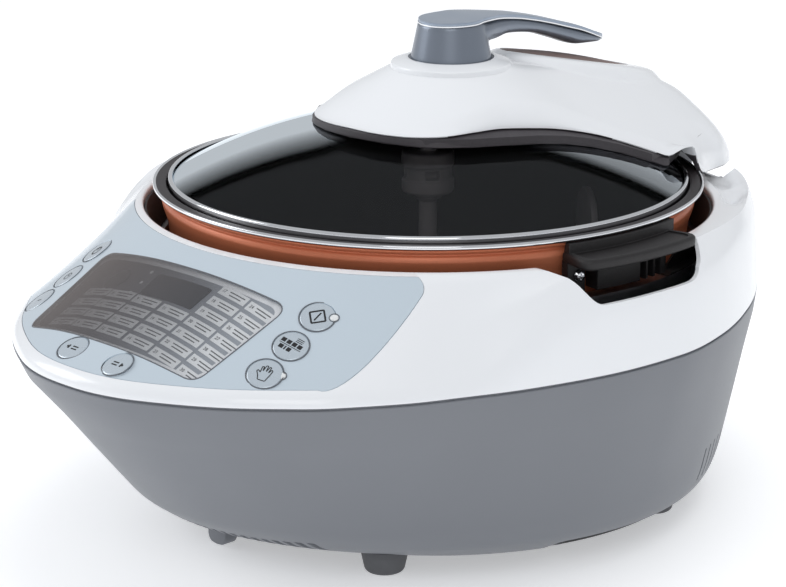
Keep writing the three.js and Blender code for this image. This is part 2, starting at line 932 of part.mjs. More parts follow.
// Sector of a ring about the pot's axis, centred on +X, with rounded outer corners
function sector(inner, outer, halfAngle, corner) {
  const shape = new THREE.Shape();
  const at = (radius, angle) => [radius * Math.cos(angle), radius * Math.sin(angle)];
  const steps = 8;
  const trim = corner / outer;
  shape.moveTo(...at(inner, -halfAngle));
  shape.lineTo(...at(outer - corner, -halfAngle));
  shape.quadraticCurveTo(...at(outer, -halfAngle), ...at(outer, trim - halfAngle));
  for (let i = 1; i <= steps; i += 1) {
    shape.lineTo(...at(outer, blend(trim - halfAngle, halfAngle - trim, i / steps)));
  }
  shape.quadraticCurveTo(...at(outer, halfAngle), ...at(outer - corner, halfAngle));
  shape.lineTo(...at(inner, halfAngle));
  for (let i = 1; i < steps; i += 1) {
    shape.lineTo(...at(inner, blend(halfAngle, -halfAngle, i / steps)));
  }
  return shape;
}

// Opening for a pot handle: an outline across the side of the body, pushed out through it
function notchTool() {
  const shape = new THREE.Shape();
  const top = bodyTop + overrun;
  const flare = notchFrontTop - notchFrontBottom;
  shape.moveTo(-notchFrontTop - flare / 2, top);
  shape.lineTo(-notchFrontTop, bodyTop);
  shape.bezierCurveTo(
    -notchFrontBottom - flare / 3,
    bodyTop,
    -notchFrontBottom - flare / 2,
    notchBottom,
    -notchFrontBottom + notchCorner / 2,
    notchBottom,
  );
  shape.lineTo(notchRearBottom - notchCorner, notchBottom);
  shape.quadraticCurveTo(
    notchRearBottom,
    notchBottom,
    notchRearBottom + notchCorner,
    notchBottom + notchCorner,
  );
  shape.lineTo(notchRearTop, bodyTop);
  shape.lineTo(notchRearTop, top);
  const depth = sideReach + 2 * overrun - notchInner;
  const geometry = new THREE.ExtrudeGeometry(shape, { depth, bevelEnabled: false, curveSegments: 6 });
  geometry.rotateX(quarterTurn).rotateZ(quarterTurn).translate(notchInner, 0, 0);
  return turnedBy(solid(geometry), handleTurn);
}

const halfTurned = (shape) => turnedBy(shape, Math.PI);

function makeBody() {
  const notch = notchTool();
  const recess = prism(panelOutline(panelGap), baseHeight, bodyTop + overrun).intersect(
    deckSlab(-panelThickness - seamGap, 2 * overrun),
  );
  const windowHole = prism(windowOutline(-windowLedge), baseHeight, bodyTop + overrun);
  const holes = union(keys.map((key) => keyHole(key, keyGap)));
  const ledHoles = union(leds.map((led) => ledSolid(led, keyGap, overrun)));
  const bay = block(
    -hingeBayHalf,
    hingeBayHalf,
    hingeBayFront,
    rearReach + overrun,
    hingeBayFloor,
    bodyTop + overrun,
  );
  const upper = upperShell()
    .subtract(notch)
    .subtract(halfTurned(notch))
    .subtract(recess)
    .subtract(windowHole)
    .subtract(holes)
    .subtract(ledHoles)
    .subtract(bay);
  piece("upper_housing", upper, "whiteGloss");

  let lower = lowerShell();
  const vents = [];
  for (let i = 0; i < sideVentCount; i += 1) {
    const angle = sideVentAngle - quarterTurn + (i * sideVentPitch) / sideReach;
    const slot = block(
      baseRadius - 2 * overrun,
      sideReach,
      -sideVentWidth / 2,
      sideVentWidth / 2,
      sideVentBottom,
      sideVentTop,
    );
    vents.push(turnedBy(slot, angle));
    vents.push(turnedBy(slot, Math.PI - angle));
  }
  const inletHole = block(
    -inletWidth / 2 - seamGap,
    inletWidth / 2 + seamGap,
    baseRadius,
    rearReach + overrun,
    inletBottom - seamGap,
    inletBottom + inletHeight + seamGap,
  );
  lower = lower.add(lowerRibs()).subtract(union(vents)).subtract(inletHole);
  lower = lower.subtract(screwBores(screwShank + seamGap));
  piece("lower_housing", lower, "greyShell");

  const panel = prism(panelOutline(0), baseHeight, bodyTop + overrun)
    .intersect(deckSlab(-panelThickness, 0))
    .subtract(prism(windowOutline(panelGap), baseHeight, bodyTop + overrun))
    .subtract(holes)
    .subtract(ledHoles)
    .subtract(
      block(
        -panelClipWidth / 2,
        panelClipWidth / 2,
        -frontReach,
        -frontReach + panelMargin + panelClipDepth,
        splitHeight,
        bodyTop,
      ),
    );
  piece("control_panel", panel, "silverPanel");

  const pane = prism(windowOutline(0), baseHeight, bodyTop + overrun);
  piece("display_window", pane.intersect(deckSlab(-panelThickness, windowProud)), "smoke");

  const lcdHalf = lcdWidth / 2 + seamGap;
  const lcdSlot = block(
    -lcdHalf,
    lcdHalf,
    -lcdCentre - lcdDepth / 2 - 2 * seamGap,
    -lcdCentre + lcdDepth / 2 + 2 * seamGap,
    splitHeight,
    bodyTop,
  );
  const cardTop = -panelThickness - seamGap;
  const card = prism(windowOutline(-windowLedge - seamGap), baseHeight, bodyTop + overrun)
    .intersect(deckSlab(cardTop - cardThickness, cardTop))
    .subtract(lcdSlot);
  piece("label_card", card, "card");
}

// Flat box in a board's frame: x across, y up the slope, z along the board's direction
function boardBox(board, width, length, low, high, shift = 0) {
  const shape = block(-width / 2, width / 2, shift - length / 2, shift + length / 2, low, high);
  return aimed(shape, board.centre, board.normal);
}

function makeControls() {
  const half = boardThickness / 2;
  const slopeShare = mainBoard.normal.z;
  const shift = (boardCentre - lcdCentre) / slopeShare;
  piece("control_board", boardBox(mainBoard, boardWidth, boardLength, -half, half), "boardGreen");
  const lcd = boardBox(
    mainBoard,
    lcdWidth,
    lcdDepth,
    half + seamGap,
    half + seamGap + lcdHeight,
    shift,
  );
  piece("lcd_module", lcd, "darkBand");
  piece("key_board_right", boardBox(rightBoard, sideBoardWidth, sideBoardLength, -half, half), "boardGreen");
  piece("key_board_left", boardBox(leftBoard, sideBoardWidth, sideBoardLength, -half, half), "boardGreen");
  const lights = leds.map((led) => ledSolid(led, keyGap, overrun));
  keys.forEach((key) => {
    let cap = keySolid(key);
    if (key.board === rightBoard) {
      cap = cap.subtract(union(lights));
    }
    piece(key.name, cap, "silverPanel");
  });
  leds.forEach((led) => piece(led.name, ledSolid(led, 0, keyProud), "nylon"));
}

// Pot and its handles

const potRadiusAt = (z) => blend(potBottomRadius, potTopRadius, (z - potBottom) / (flangeTop - potBottom));

function makePot() {
  const ledge = flangeTop - potLedgeDrop;
  const underside = flangeTop - flangeThickness;
  const inside = potMouthRadius - potLedgeWidth;
  const cornerTop = potBottom + potCorner;
  const pot = turned([
    [0, potBottom],
    [potFloorRadius, potBottom],
    [potBottomRadius - potCorner / 4, potBottom + potCorner / 3],
    [potRadiusAt(cornerTop), cornerTop],
    [potRadiusAt(underside), ledge - potWall],
    [potMouthRadius + potWall, ledge],
    [potMouthRadius + potWall, underside],
    [flangeRadius, underside],
    [flangeRadius, flangeTop],
    [potMouthRadius, flangeTop],
    [potMouthRadius, ledge],
    [inside, ledge],
    [inside, ledge - potWall],
    [potRadiusAt(cornerTop) - potWall, cornerTop],
    [potBottomRadius - potCorner / 2, potBottom + potCorner / 3 + potWall / 2],
    [potFloorRadius, potBottom + potWall],
    [0, potBottom + potWall],
  ]);
  piece("pot", pot, "copper");

  const clear = seamGap;
  const potBody = turned([
    [0, potBottom],
    [potRadiusAt(potBottom) + clear, potBottom],
    [potRadiusAt(underside) + clear, ledge - potWall],
    [potMouthRadius + potWall + clear, ledge],
    [potMouthRadius + potWall + clear, underside - clear],
    [flangeRadius + overrun, underside - clear],
    [flangeRadius + overrun, flangeTop + overrun],
    [0, flangeTop + overrun],
  ]);
  const lugAngle = gripLugWidth / gripBlockOuter / 2;
  const upright = union([
    prism(sector(gripInner, gripOuter, gripHalfAngle, gripCorner), gripTop - gripThickness, gripTop),
    prism(sector(gripInner, gripBlockOuter, gripHalfAngle, seamGap), gripTop - seamGap, gripBlockTop),
    prism(sector(notchInner, gripBoxOuter, gripBoxHalfAngle, seamGap), gripBoxBottom, gripTop - seamGap),
    turnedBy(
      prism(sector(notchInner, gripBlockOuter, lugAngle, seamGap), gripBoxBottom, gripTop - seamGap),
      gripScrewAngle,
    ),
  ]);
  const pocket = prism(
    sector(gripBlockOuter - gripThickness / 2, gripOuter, gripBoxHalfAngle / 3, seamGap),
    gripBoxBottom - overrun,
    gripTop - gripThickness,
  );
  const screwAt = (shape) => {
    const across = shape.rotate([0, 90, 0]);
    return turnedBy(moved(across, gripBlockOuter, 0, gripScrewHeight), gripScrewAngle);
  };
  const screwHole = screwAt(bar(screwShank + seamGap, -gripBoxPocket, overrun, smallSteps));
  const handle = upright
    .subtract(union(gripPocketShares.map((share) => turnedBy(pocket, gripBoxHalfAngle * share))))
    .subtract(turnedBy(potBody, -handleTurn))
    .subtract(screwHole);
  const slotFloor = screwHeadHeight - screwSlotDepth;
  const headSlot = block(-screwHeadRadius, screwHeadRadius, -seamGap, seamGap, slotFloor, overrun);
  const screw = screwAt(
    bar(screwHeadRadius, seamGap, screwHeadHeight + seamGap, smallSteps)
      .subtract(headSlot.add(turnedBy(headSlot, quarterTurn)))
      .add(bar(screwShank, -gripThickness / 2, seamGap * 2, smallSteps)),
  );
  const right = turnedBy(handle, handleTurn);
  piece("pot_handle_right", right, "blackPlastic");
  piece("pot_handle_left", halfTurned(right), "blackPlastic");
  const rightScrew = turnedBy(screw, handleTurn);
  piece("handle_screw_right", rightScrew, "steel");
  piece("handle_screw_left", halfTurned(rightScrew), "steel");
}

// Liner, heated well, heater and what lies under them
function makeHeating() {
  const t = linerThickness;
  const notchSide = prism(
    sector(notchInner, linerTopRadius + overrun, gripHalfAngle * linerNotchShare, seamGap),
    gripBoxBottom - t,
    bodyTop,
  );
  const notch = turnedBy(notchSide, handleTurn);
  const liner = turned([
    [linerTopRadius, linerTop],
    [linerTopRadius - t, linerTop],
    [linerBottomRadius - t / 2, linerBottom],
    [linerTopRadius, linerBottom],
    [linerTopRadius, linerBottom + t],
    [linerBottomRadius + t, linerBottom + t],
  ], bodySteps)
    .subtract(notch)
    .subtract(halfTurned(notch));
  piece("pot_surround", liner, "blackPlastic");

  const w = wellThickness;
  const well = turned([
    [wellRim, wellTop],
    [wellRadius - w, wellTop],
    [wellFloorRadius + potCorner - w, wellFloor + potCorner],
    [wellFloorRadius - w, wellFloor + w],
    [sensorHole, wellFloor + w],
    [sensorHole, wellFloor],
    [wellFloorRadius, wellFloor],
    [wellFloorRadius + potCorner, wellFloor + potCorner],
    [wellRadius, wellTop - w],
    [wellRim, wellTop - w],
  ]);
  piece("heating_well", well, "steel");

  const heaterBottom = wellFloor + w + seamGap;
  const heaterTop = potBottom - seamGap;
  const heater = turned(
    [
      [heaterInner, heaterBottom],
      [heaterRadius, heaterBottom],
      [heaterRadius, heaterTop - w],
      [heaterRadius - w, heaterTop],
      [heaterInner, heaterTop],
    ],
    middleSteps,
  );
  piece("bottom_heater", heater, "darkSteel");

  const sensorBottom = wellFloor - shieldDrop + shieldThickness + seamGap;
  const sensor = turned(
    [
      [0, sensorBottom],
      [sensorRadius - w, sensorBottom],
      [sensorRadius - w, heaterTop - 2 * w],
      [sensorRadius, heaterTop - w],
      [sensorRadius, heaterTop],
      [0, heaterTop],
    ],
    16,
  );
  piece("temperature_sensor", sensor, "steel");

  const shieldTop = wellFloor - seamGap;
  const s = shieldThickness;
  const shield = turned(
    [
      [0, wellFloor - shieldDrop],
      [shieldRadius, wellFloor - shieldDrop],
      [shieldRadius + s, shieldTop - shieldRimHeight],
      [shieldRadius + s, shieldTop],
      [shieldRadius, shieldTop],
      [shieldRadius, wellFloor - shieldDrop + s],
      [0, wellFloor - shieldDrop + s],
    ],
    middleSteps,
  );
  piece("heat_shield", shield, "steel");
}

// Shell fills, base, feet and power

// Solid that fills the lower housing to a given distance in from its outer face
function lowerFill(inset) {
  const top = splitHeight - seamGap;
  return swept(
    (share) => {
      const reach = reachAt(foldedAngle(share));
      const wall = lowerWallShares.map(([down, inward]) => [
        blend(reach, baseAt(share), inward) - inset,
        blend(top, baseHeight, down),
      ]);
      return around(share, [[0, top], ...wall, [0, baseHeight]]);
    },
    bodySteps,
    false,
  );
}

// Solid that fills the upper housing in the same way
function upperFill(inset) {
  return swept(
    (share) => {
      const outline = upperOutline(foldedAngle(share));
      const all = outline.map((point, i) => i).slice(3);
      const wall = insetOutline(outline, inset, all);
      const edge = outline[outline.length - 1][0] - inset;
      return around(share, [[0, bodyTop - inset], ...wall, [edge, splitHeight], [0, splitHeight]]);
    },
    bodySteps,
    false,
  );
}

// Ribs inside the lower housing: bosses for the base screws and two that carry the power board
function lowerRibs() {
  const bosses = baseScrewAngles.map((angle) => {
    const boss = block(
      baseScrewCircle - postRadius,
      baseRearRadius + overrun,
      -postRadius,
      postRadius,
      baseHeight + overrun + seamGap,
      baseHeight + overrun + bossHeight,
    );
    return turnedBy(boss, THREE.MathUtils.degToRad(angle) - quarterTurn);
  });
  const ribs = [powerRibFront, powerRibRear].map((reach) =>
    block(-sideReach, sideReach, -reach, -reach + bodyWall, powerRibBottom, powerBoardHeight),
  );
  return union([...bosses, ...ribs]).intersect(lowerFill(bodyWall / 2));
}

const screwPlaces = baseScrewAngles.map((angle) => {
  const turn = THREE.MathUtils.degToRad(angle);
  return [baseScrewCircle * Math.sin(turn), -baseScrewCircle * Math.cos(turn)];
});
const footPlaces = footAngles.map((angle) => {
  const turn = THREE.MathUtils.degToRad(angle);
  return [footCircle * Math.sin(turn), -footCircle * Math.cos(turn)];
});

function screwBores(radius) {
  const high = baseHeight + overrun + bossHeight;
  return union(screwPlaces.map(([x, y]) => moved(bar(radius, 0, high + overrun, smallSteps), x, y, 0)));
}

function makeBase() {
  const plateTop = basePlateBottom + basePlateThickness;
  const lipTop = baseHeight + overrun;
  let plate = swept(
    (share) => {
      const lip = baseAt(share) - bodyWall - seamGap;
      return around(share, [
        [0, basePlateBottom],
        [lip, basePlateBottom],
        [lip, lipTop],
        [lip - bodyWall, lipTop],
        [lip - bodyWall, plateTop],
        [0, plateTop],
      ]);
    },
    bodySteps,
    false,
  );
  const slots = [];
  for (let i = 0; i < grilleCount; i += 1) {
    const x = (i - (grilleCount - 1) / 2) * grillePitch;
    slots.push(
      block(x - grilleSlotWidth / 2, x + grilleSlotWidth / 2, -grilleEnd, -grilleStart, 0, lipTop),
    );
  }
  const peg = moved(
    bar(pegRadius, pegBottom, basePlateBottom + seamGap, barSteps, pegTopRadius),
    0,
    -pegReach,
    0,
  );
  const tab = block(
    -pegTopRadius,
    pegTopRadius,
    -pegReach,
    -pegReach + 2 * pegTopRadius,
    basePlateBottom - basePlateThickness,
    basePlateBottom + seamGap,
  );
  const stem = footTopRadius * footStemShare;
  const seat = bar(stem + seamGap, 0, lipTop, smallSteps);
  const seats = union(footPlaces.map(([x, y]) => moved(seat, x, y, 0)));
  plate = plate.subtract(union(slots)).subtract(seats).add(peg).add(tab);
  plate = plate.subtract(screwBores(screwShank + seamGap));
  piece("base_plate", plate, "greyShell");

  const rounding = footTopRadius / 8;
  footPlaces.forEach(([x, y], i) => {
    const foot = turned(
      [
        [0, 0],
        [footRadius - rounding, 0],
        [footRadius, rounding],
        [footTopRadius, basePlateBottom - seamGap],
        [stem, basePlateBottom - seamGap],
        [stem, plateTop],
        [0, plateTop],
      ],
      16,
    );
    piece(`foot_${i + 1}`, moved(foot, x, y, 0), "rubber");
  });

  screwPlaces.forEach(([x, y], i) => {
    const headTop = basePlateBottom - seamGap;
    const slot = bar(screwShank, 0, headTop - screwHeadHeight + screwSlotDepth, 6);
    const screw = bar(baseScrewRadius, headTop - screwHeadHeight, headTop, smallSteps)
      .subtract(slot)
      .add(bar(screwShank, headTop - seamGap, baseHeight + overrun + bossHeight - bodyWall, smallSteps));
    piece(`base_screw_${i + 1}`, moved(screw, x, y, 0), "steel");
  });
}

function makePower() {
  const low = powerBoardHeight + seamGap;
  const top = low + boardThickness;
  const middle = -(powerRibFront + powerRibRear - bodyWall) / 2;
  const half = transformerSize / 2;
  const capacitor = bar(capacitorRadius, top - seamGap, top + transformerHeight, smallSteps);
  const board = union([
    block(
      -powerBoardWidth / 2,
      powerBoardWidth / 2,
      middle - powerBoardDepth / 2,
      middle + powerBoardDepth / 2,
      low,
      top,
    ),
    block(-half, half, middle - half, middle + half, top - seamGap, top + transformerHeight),
    moved(capacitor, transformerSize, middle, 0),
    moved(capacitor, -transformerSize, middle, 0),
  ]);
  piece("power_board", board, "boardGreen");

  const face = rearReach - inletSetback;
  const halfWidth = inletWidth / 2;
  const socket = block(
    -halfWidth,
    halfWidth,
    face - inletDepth,
    face,
    inletBottom,
    inletBottom + inletHeight,
  ).subtract(
    block(
      -halfWidth + inletWall,
      halfWidth - inletWall,
      face - inletDepth + 2 * inletWall,
      face + overrun,
      inletBottom + inletWall,
      inletBottom + inletHeight - inletWall,
    ),
  );
  const pins = [-1, 1].map((side) => {
    const x = (side * halfWidth) / 2;
    const z = inletBottom + inletHeight / 2;
    return block(
      x - inletPin / 2,
      x + inletPin / 2,
      face - inletDepth + inletWall,
      face - inletWall,
      z - inletPin,
      z + inletPin,
    );
  });
  piece("power_inlet", union([socket, ...pins]), "blackPlastic");
}

// Hinge between the body and the arm

// Round bar along X about the hinge axis
function hingeBar(radius, x0, x1, steps = barSteps) {
  const along = bar(radius, x0, x1, steps).rotate([0, 90, 0]);
  return moved(along, 0, hingeReach, hingeHeight);
}

const bothSides = (make) => make(1).add(make(-1));

function hingeLugs(inner, outer, bottom, top) {
  return bothSides((side) => {
    const [x0, x1] = [Math.min(side * inner, side * outer), Math.max(side * inner, side * outer)];
    const post = block(x0, x1, hingeReach - hingeLugRadius, hingeReach + hingeLugRadius, bottom, top);
    return hingeBar(hingeLugRadius, x0, x1).add(post);
  });
}

function makeHinge() {
  const trayTop = hingeBayFloor - seamGap;
  const trayBottom = trayTop - bracketThickness;
  const inner = hingeBayHalf - seamGap;
  const front = hingeBayFront + seamGap;
  const back = rearReach + overrun;
  const wallTop = bodyTop - bodyWall - seamGap;
  const tray = union([
    block(-inner, inner, front, back, trayBottom, trayTop),
    block(-inner, inner, front, front + bodyWall, trayBottom, wallTop),
    block(-inner, -inner + bodyWall, front, back, trayBottom, wallTop),
    block(inner - bodyWall, inner, front, back, trayBottom, wallTop),
  ]).intersect(upperFill(bodyWall + bracketGap));
  const pinHole = hingeBar(hingePinRadius + hingePinGap, -hingeBayHalf, hingeBayHalf);
  const lugs = hingeLugs(bracketLugInner, bracketLugOuter, trayTop - seamGap, hingeHeight);
  piece("hinge_bracket", tray.add(lugs).subtract(pinHole), "greyShell");
  const pinEnd = armLugOuter + bodyWall;
  piece("hinge_pin", hingeBar(hingePinRadius, -pinEnd, pinEnd), "steel");
  const sleeve = bracketLugInner - seamGap;
  const spring = hingeBar(springRadius, -sleeve, sleeve);
  piece("hinge_spring", spring.subtract(hingeBar(hingePinRadius + hingePinGap, -back, back)), "darkSteel");
}

// Lid: rim, seal and dome glass

const domeHeight = (radius) => glassTop - glassSphere + Math.sqrt(glassSphere ** 2 - radius ** 2);

function makeLid() {
  const glassEdge = domeHeight(glassRadius);
  const ledgeTop = glassEdge - glassThickness - seamGap;
  const ledgeBottom = ledgeTop - rimFloor;
  const outerFace = [];
  const innerFace = [];
  for (let i = 0; i <= glassArcSteps; i += 1) {
    const radius = blend(glassHole, glassRadius, i / glassArcSteps);
    outerFace.push([radius, domeHeight(radius)]);
    innerFace.unshift([radius, domeHeight(radius) - glassThickness]);
  }
  piece("dome_glass", turned([...outerFace, ...innerFace]), "glass");

  const rim = turned([
    [rimInner, ledgeBottom],
    [rimRadius, ledgeBottom],
    [rimRadius, rimTop - rimFloor],
    [rimRadius - rimFloor, rimTop],
    [rimLipInner, rimTop],
    [rimLipInner, rimTop - rimFloor],
    [rimRadius - rimWall, rimTop - rimWall],
    [rimRadius - rimWall, ledgeTop],
    [rimInner, ledgeTop],
  ]);
  piece("lid_rim", rim, "steel");

  const sealBottom = flangeTop - potLedgeDrop + seamGap;
  const sealTop = ledgeBottom - seamGap;
  const seal = turned([
    [rimLipInner, sealBottom],
    [rimRadius - seamGap, sealBottom],
    [rimRadius, sealTop],
    [rimInner, sealTop],
  ]);
  piece("lid_seal", seal, "rubber");

  const clampTop = domeHeight(clampRadius) - glassThickness - seamGap;
  const bore = shaftRadius + spindleGap * 2;
  const neck = glassHole - spindleGap * 2;
  const clamp = turned(
    [
      [bore, clampTop - clampThickness],
      [clampRadius, clampTop - clampThickness],
      [clampRadius, clampTop],
      [neck, clampTop],
      [neck, armFloor(0, clampRadius) - seamGap],
      [bore, armFloor(0, clampRadius) - seamGap],
    ],
    middleSteps,
  );
  piece("glass_clamp", clamp, "blackPlastic");
}

// Arm over the lid

const armReach = (share) => armLength * along(armOutlineShares, share);
const armPoint = (share, side, radius) => [
  side * radius * Math.sin(share * Math.PI),
  armCentre - radius * Math.cos(share * Math.PI),
];

// Underside of the arm: it follows the glass and stays over the rim
function armFloor(x, y) {
  const radius = Math.min(Math.hypot(x, y), glassRadius);
  return Math.max(domeHeight(radius) + armBaseGap, rimTop + armRimGap);
}

const armRear = armCentre + armLength;

function spineHeight(y) {
  const share = (y - handleReach) / (armRear - handleReach);
  return collarHeight - (collarHeight - cowlBottom) * along(spineDropShares, share);
}

// Top of the arm: a cone about the lever, drawn out along a falling spine
function armTop(x, y) {
  const away = (y < handleReach ? Math.hypot(x, y - handleReach) : Math.abs(x)) - spineHalfWidth;
  const fall = (away + Math.hypot(away, spineRound)) / 2;
  return spineHeight(y) - coneSlope * fall;
}

function armEdgeHeight(share, x, y) {
  const overBand = armFloor(x, y) + armBaseThickness + seamGap;
  return blend(overBand, cowlBottom, ramp(cowlStartShare, cowlFullShare, share));
}

// Closed solid over the arm's outline, between a lower and an upper surface
function armSolid(reachOf, lowOf, highOf) {
  const rings = armRadialShares;
  return swept(
    (turnShare) => {
      const share = 2 * Math.min(turnShare, 1 - turnShare);
      const side = turnShare > 0.5 ? -1 : 1;
      const reach = reachOf(share);
      const [edgeX, edgeY] = armPoint(share, side, reach);
      const place = (radiusShare, heightOf) => {
        const [x, y] = armPoint(share, side, reach * radiusShare);
        return [x, y, heightOf(share, x, y, edgeX, edgeY)];
      };
      const top = rings.map((radiusShare) => place(radiusShare, highOf));
      const bottom = [...rings].reverse().map((radiusShare) => place(radiusShare, lowOf));
      const pole = (heightOf) => [0, armCentre, heightOf(0, 0, armCentre, 0, armCentre)];
      return [pole(highOf), ...top, ...bottom, pole(lowOf)];
    },
    armSteps,
    false,
  );
}

function humpSolid(inset, drop) {
  const plane = (y) => humpTop - humpSlope * (y - humpCentre) - inset;
  return swept(
    (share) => {
      const angle = share * 2 * Math.PI;
      const [across, lengthwise] = [humpHalfWidth - inset, humpHalfLength - inset];
      const side = humpSideShares.map(([out, up]) => {
        const x = out * across * Math.sin(angle);
        const y = humpCentre - out * lengthwise * Math.cos(angle);
        return [x, y, plane(y) - (humpDepth + drop) * (1 - up)];
      });
      const low = plane(humpCentre) - humpDepth - drop;
      return [[0, humpCentre, low], ...side, [0, humpCentre, plane(humpCentre)]];
    },
    28,
    false,
  );
}

// Oval dish in the top of the hump, or the inset that lines it
function dishSolid(grow, low, high) {
  const plane = (y) => humpTop - humpSlope * (y - humpCentre);
  return swept(
    (share) => {
      const angle = share * 2 * Math.PI;
      const x = (dishHalfWidth + grow) * Math.sin(angle);
      const y = dishCentre - (dishHalfLength + grow) * Math.cos(angle);
      return [
        [0, dishCentre, plane(dishCentre) + low],
        [x, y, plane(y) + low],
        [x, y, plane(y) + high],
        [0, dishCentre, plane(dishCentre) + high],
      ];
    },
    28,
    false,
  );
}

// Room in the arm for the bracket's lugs, which the arm swings round
function lugRoom() {
  const gap = 2 * seamGap;
  return bothSides((side) => {
    const ends = [side * (bracketLugInner - gap), side * (bracketLugOuter + gap)];
    return block(
      Math.min(...ends),
      Math.max(...ends),
      hingeReach - hingeLugRadius - gap,
      armRear + overrun,
      hingeBayFloor,
      hingeHeight + hingeLugRadius + gap,
    );
  });
}

function makeArm() {
  const coverTop = (share, x, y) => Math.max(armTop(x, y), armEdgeHeight(share, x, y) + armBaseGap);
  const outer = armSolid(armReach, armEdgeHeight, coverTop);
  const collar = moved(
    bar(collarRadius, collarHeight - 3 * armWall, collarHeight, ringSteps, collarRadius - seamGap),
    0,
    handleReach,
    0,
  );
  const inner = armSolid(
    (share) => armReach(share) - armWall,
    (share, x, y) => armEdgeHeight(share, x, y) - overrun,
    (share, x, y) => coverTop(share, x, y) - armWall,
  );
  const arch = block(
    -archHalfWidth,
    archHalfWidth,
    hingeReach,
    armRear + overrun,
    hingeBayFloor,
    hingeHeight + hingeLugRadius + 2 * seamGap,
  );
  const spindleHole = moved(bar(spindleRadius + spindleGap, 0, leverTop, barSteps), 0, handleReach, 0);
  const cover = union([outer, collar, humpSolid(0, 0)])
    .subtract(inner)
    .subtract(humpSolid(armWall, overrun))
    .add(dishSolid(dishWall, -dishDepth - dishWall, -seamGap))
    .subtract(dishSolid(0, -dishDepth, overrun))
    .subtract(arch)
    .subtract(spindleHole);
  piece("arm_cover", cover, "whiteGloss");

  const inset = dishSolid(-seamGap, seamGap - dishDepth, -dishDepth / 2);
  piece("arm_inset", inset, "smoke");

  const baseReach = (share) => {
    const tucked = ramp(mouthStartShare, cowlStartShare, share);
    return armReach(share) * blend(1, cowlTuckShare, tucked) + armBaseOutset * (1 - tucked);
  };
  const band = armSolid(
    baseReach,
    (share, x, y) => armFloor(x, y),
    (share, x, y) => armFloor(x, y) + armBaseThickness,
  );
  const lugs = hingeLugs(armLugInner, armLugOuter, hingeHeight, armFloor(0, hingeReach) + seamGap);
  const shaftHole = bar(couplingRadius, 0, leverTop, middleSteps);
  const axleHole = moved(bar(axleRadius + spindleGap, 0, leverTop, smallSteps), 0, idlerCentre, 0);
  const base = band
    .add(lugs)
    .subtract(lugRoom())
    .subtract(shaftHole)
    .subtract(axleHole)
    .subtract(hingeBar(hingePinRadius + hingePinGap, -hingeBayHalf, hingeBayHalf));
  piece("arm_base", base, "darkBand");
}

// Lever on the arm, with the spindle that carries it

function makeLever() {
  const bottom = collarHeight + leverGap;
  const height = leverTop - bottom;
  // Loft along the lever from its stations, between two heights worked out at each
  const leverLoft = (highOf, lowOf) => {
    const sections = leverStationShares.map(([reachShare, widthShare, topShare, lowShare]) => {
      const half = leverTopRadius * widthShare;
      const high = highOf(bottom + height * topShare, bottom + height * lowShare);
      const low = lowOf(bottom + height * topShare, bottom + height * lowShare);
      const ring = [];
      for (let i = 0; i < leverSectionSteps; i += 1) {
        const angle = (i / leverSectionSteps) * 2 * Math.PI;
        const [c, s] = [Math.cos(angle), Math.sin(angle)];
        const x = half * Math.sign(c) * Math.abs(c) ** leverSquareness;
        const rise = Math.sign(s) * Math.abs(s) ** leverSquareness;
        ring.push([x, leverReach * reachShare, (high + low) / 2 + ((high - low) / 2) * rise]);
      }
      return ring;
    });
    return lofted(sections);
  };
  const capDrop = leverCapThickness + seamGap;
  const grip = leverLoft(
    (top, low) => Math.max(top - capDrop, (top + low) / 2),
    (top, low) => low,
  );
  const capLoft = leverLoft(
    (top) => top,
    (top, low) => Math.max(top - leverCapThickness, (top + low) / 2 + seamGap),
  );
  const hubTop = bottom + height * leverStationShares[0][2];
  const hub = bar(leverBaseRadius, bottom, hubTop - capDrop, middleSteps, leverTopRadius);
  const bore = bar(spindleRadius + spindleGap, 0, bottom + spindleGrip + seamGap, barSteps);
  const place = (shape) => moved(shape, 0, handleReach, 0);
  const body = grip.subtract(leverLoft(() => leverTop + overrun, (top, low) => top - capDrop)).add(hub);
  const capSeat = leverLoft(
    () => leverTop + overrun,
    (top, low) => Math.max(top - capDrop, (top + low) / 2),
  );
  const discSeat = bar(leverTopRadius + seamGap, hubTop - capDrop, leverTop + overrun, middleSteps);
  const cuts = union([capSeat, discSeat, bore]);
  piece("handle_body", place(body.subtract(cuts)), "blueGrey");
  const disc = bar(
    leverTopRadius,
    hubTop - leverCapThickness,
    hubTop,
    28,
    leverTopRadius - leverCapThickness / 2,
  );
  piece("handle_cap", place(capLoft.add(disc)), "blueGrey");
  const flangeTopHeight = collarHeight - armWall - spindleDrop;
  const spindle = bar(spindleFlange, flangeTopHeight - spindleFlangeHeight, flangeTopHeight, barSteps).add(
    bar(spindleRadius, flangeTopHeight - seamGap, bottom + spindleGrip, barSteps),
  );
  piece("handle_spindle", place(spindle), "nylon");
}

// Drive: gears in the arm, the shaft through the lid, and the paddle

const gearLow = armFloor(0, 0) + armBaseThickness + gearRunningGap;
const outputRadius = (gearModule * outputTeeth) / 2;
const idlerRadius = (gearModule * idlerTeeth) / 2;
const motorGearRadius = (gearModule * motorTeeth) / 2;
const idlerCentre = outputRadius + idlerRadius;
const motorCentre = idlerCentre + idlerRadius + motorGearRadius;

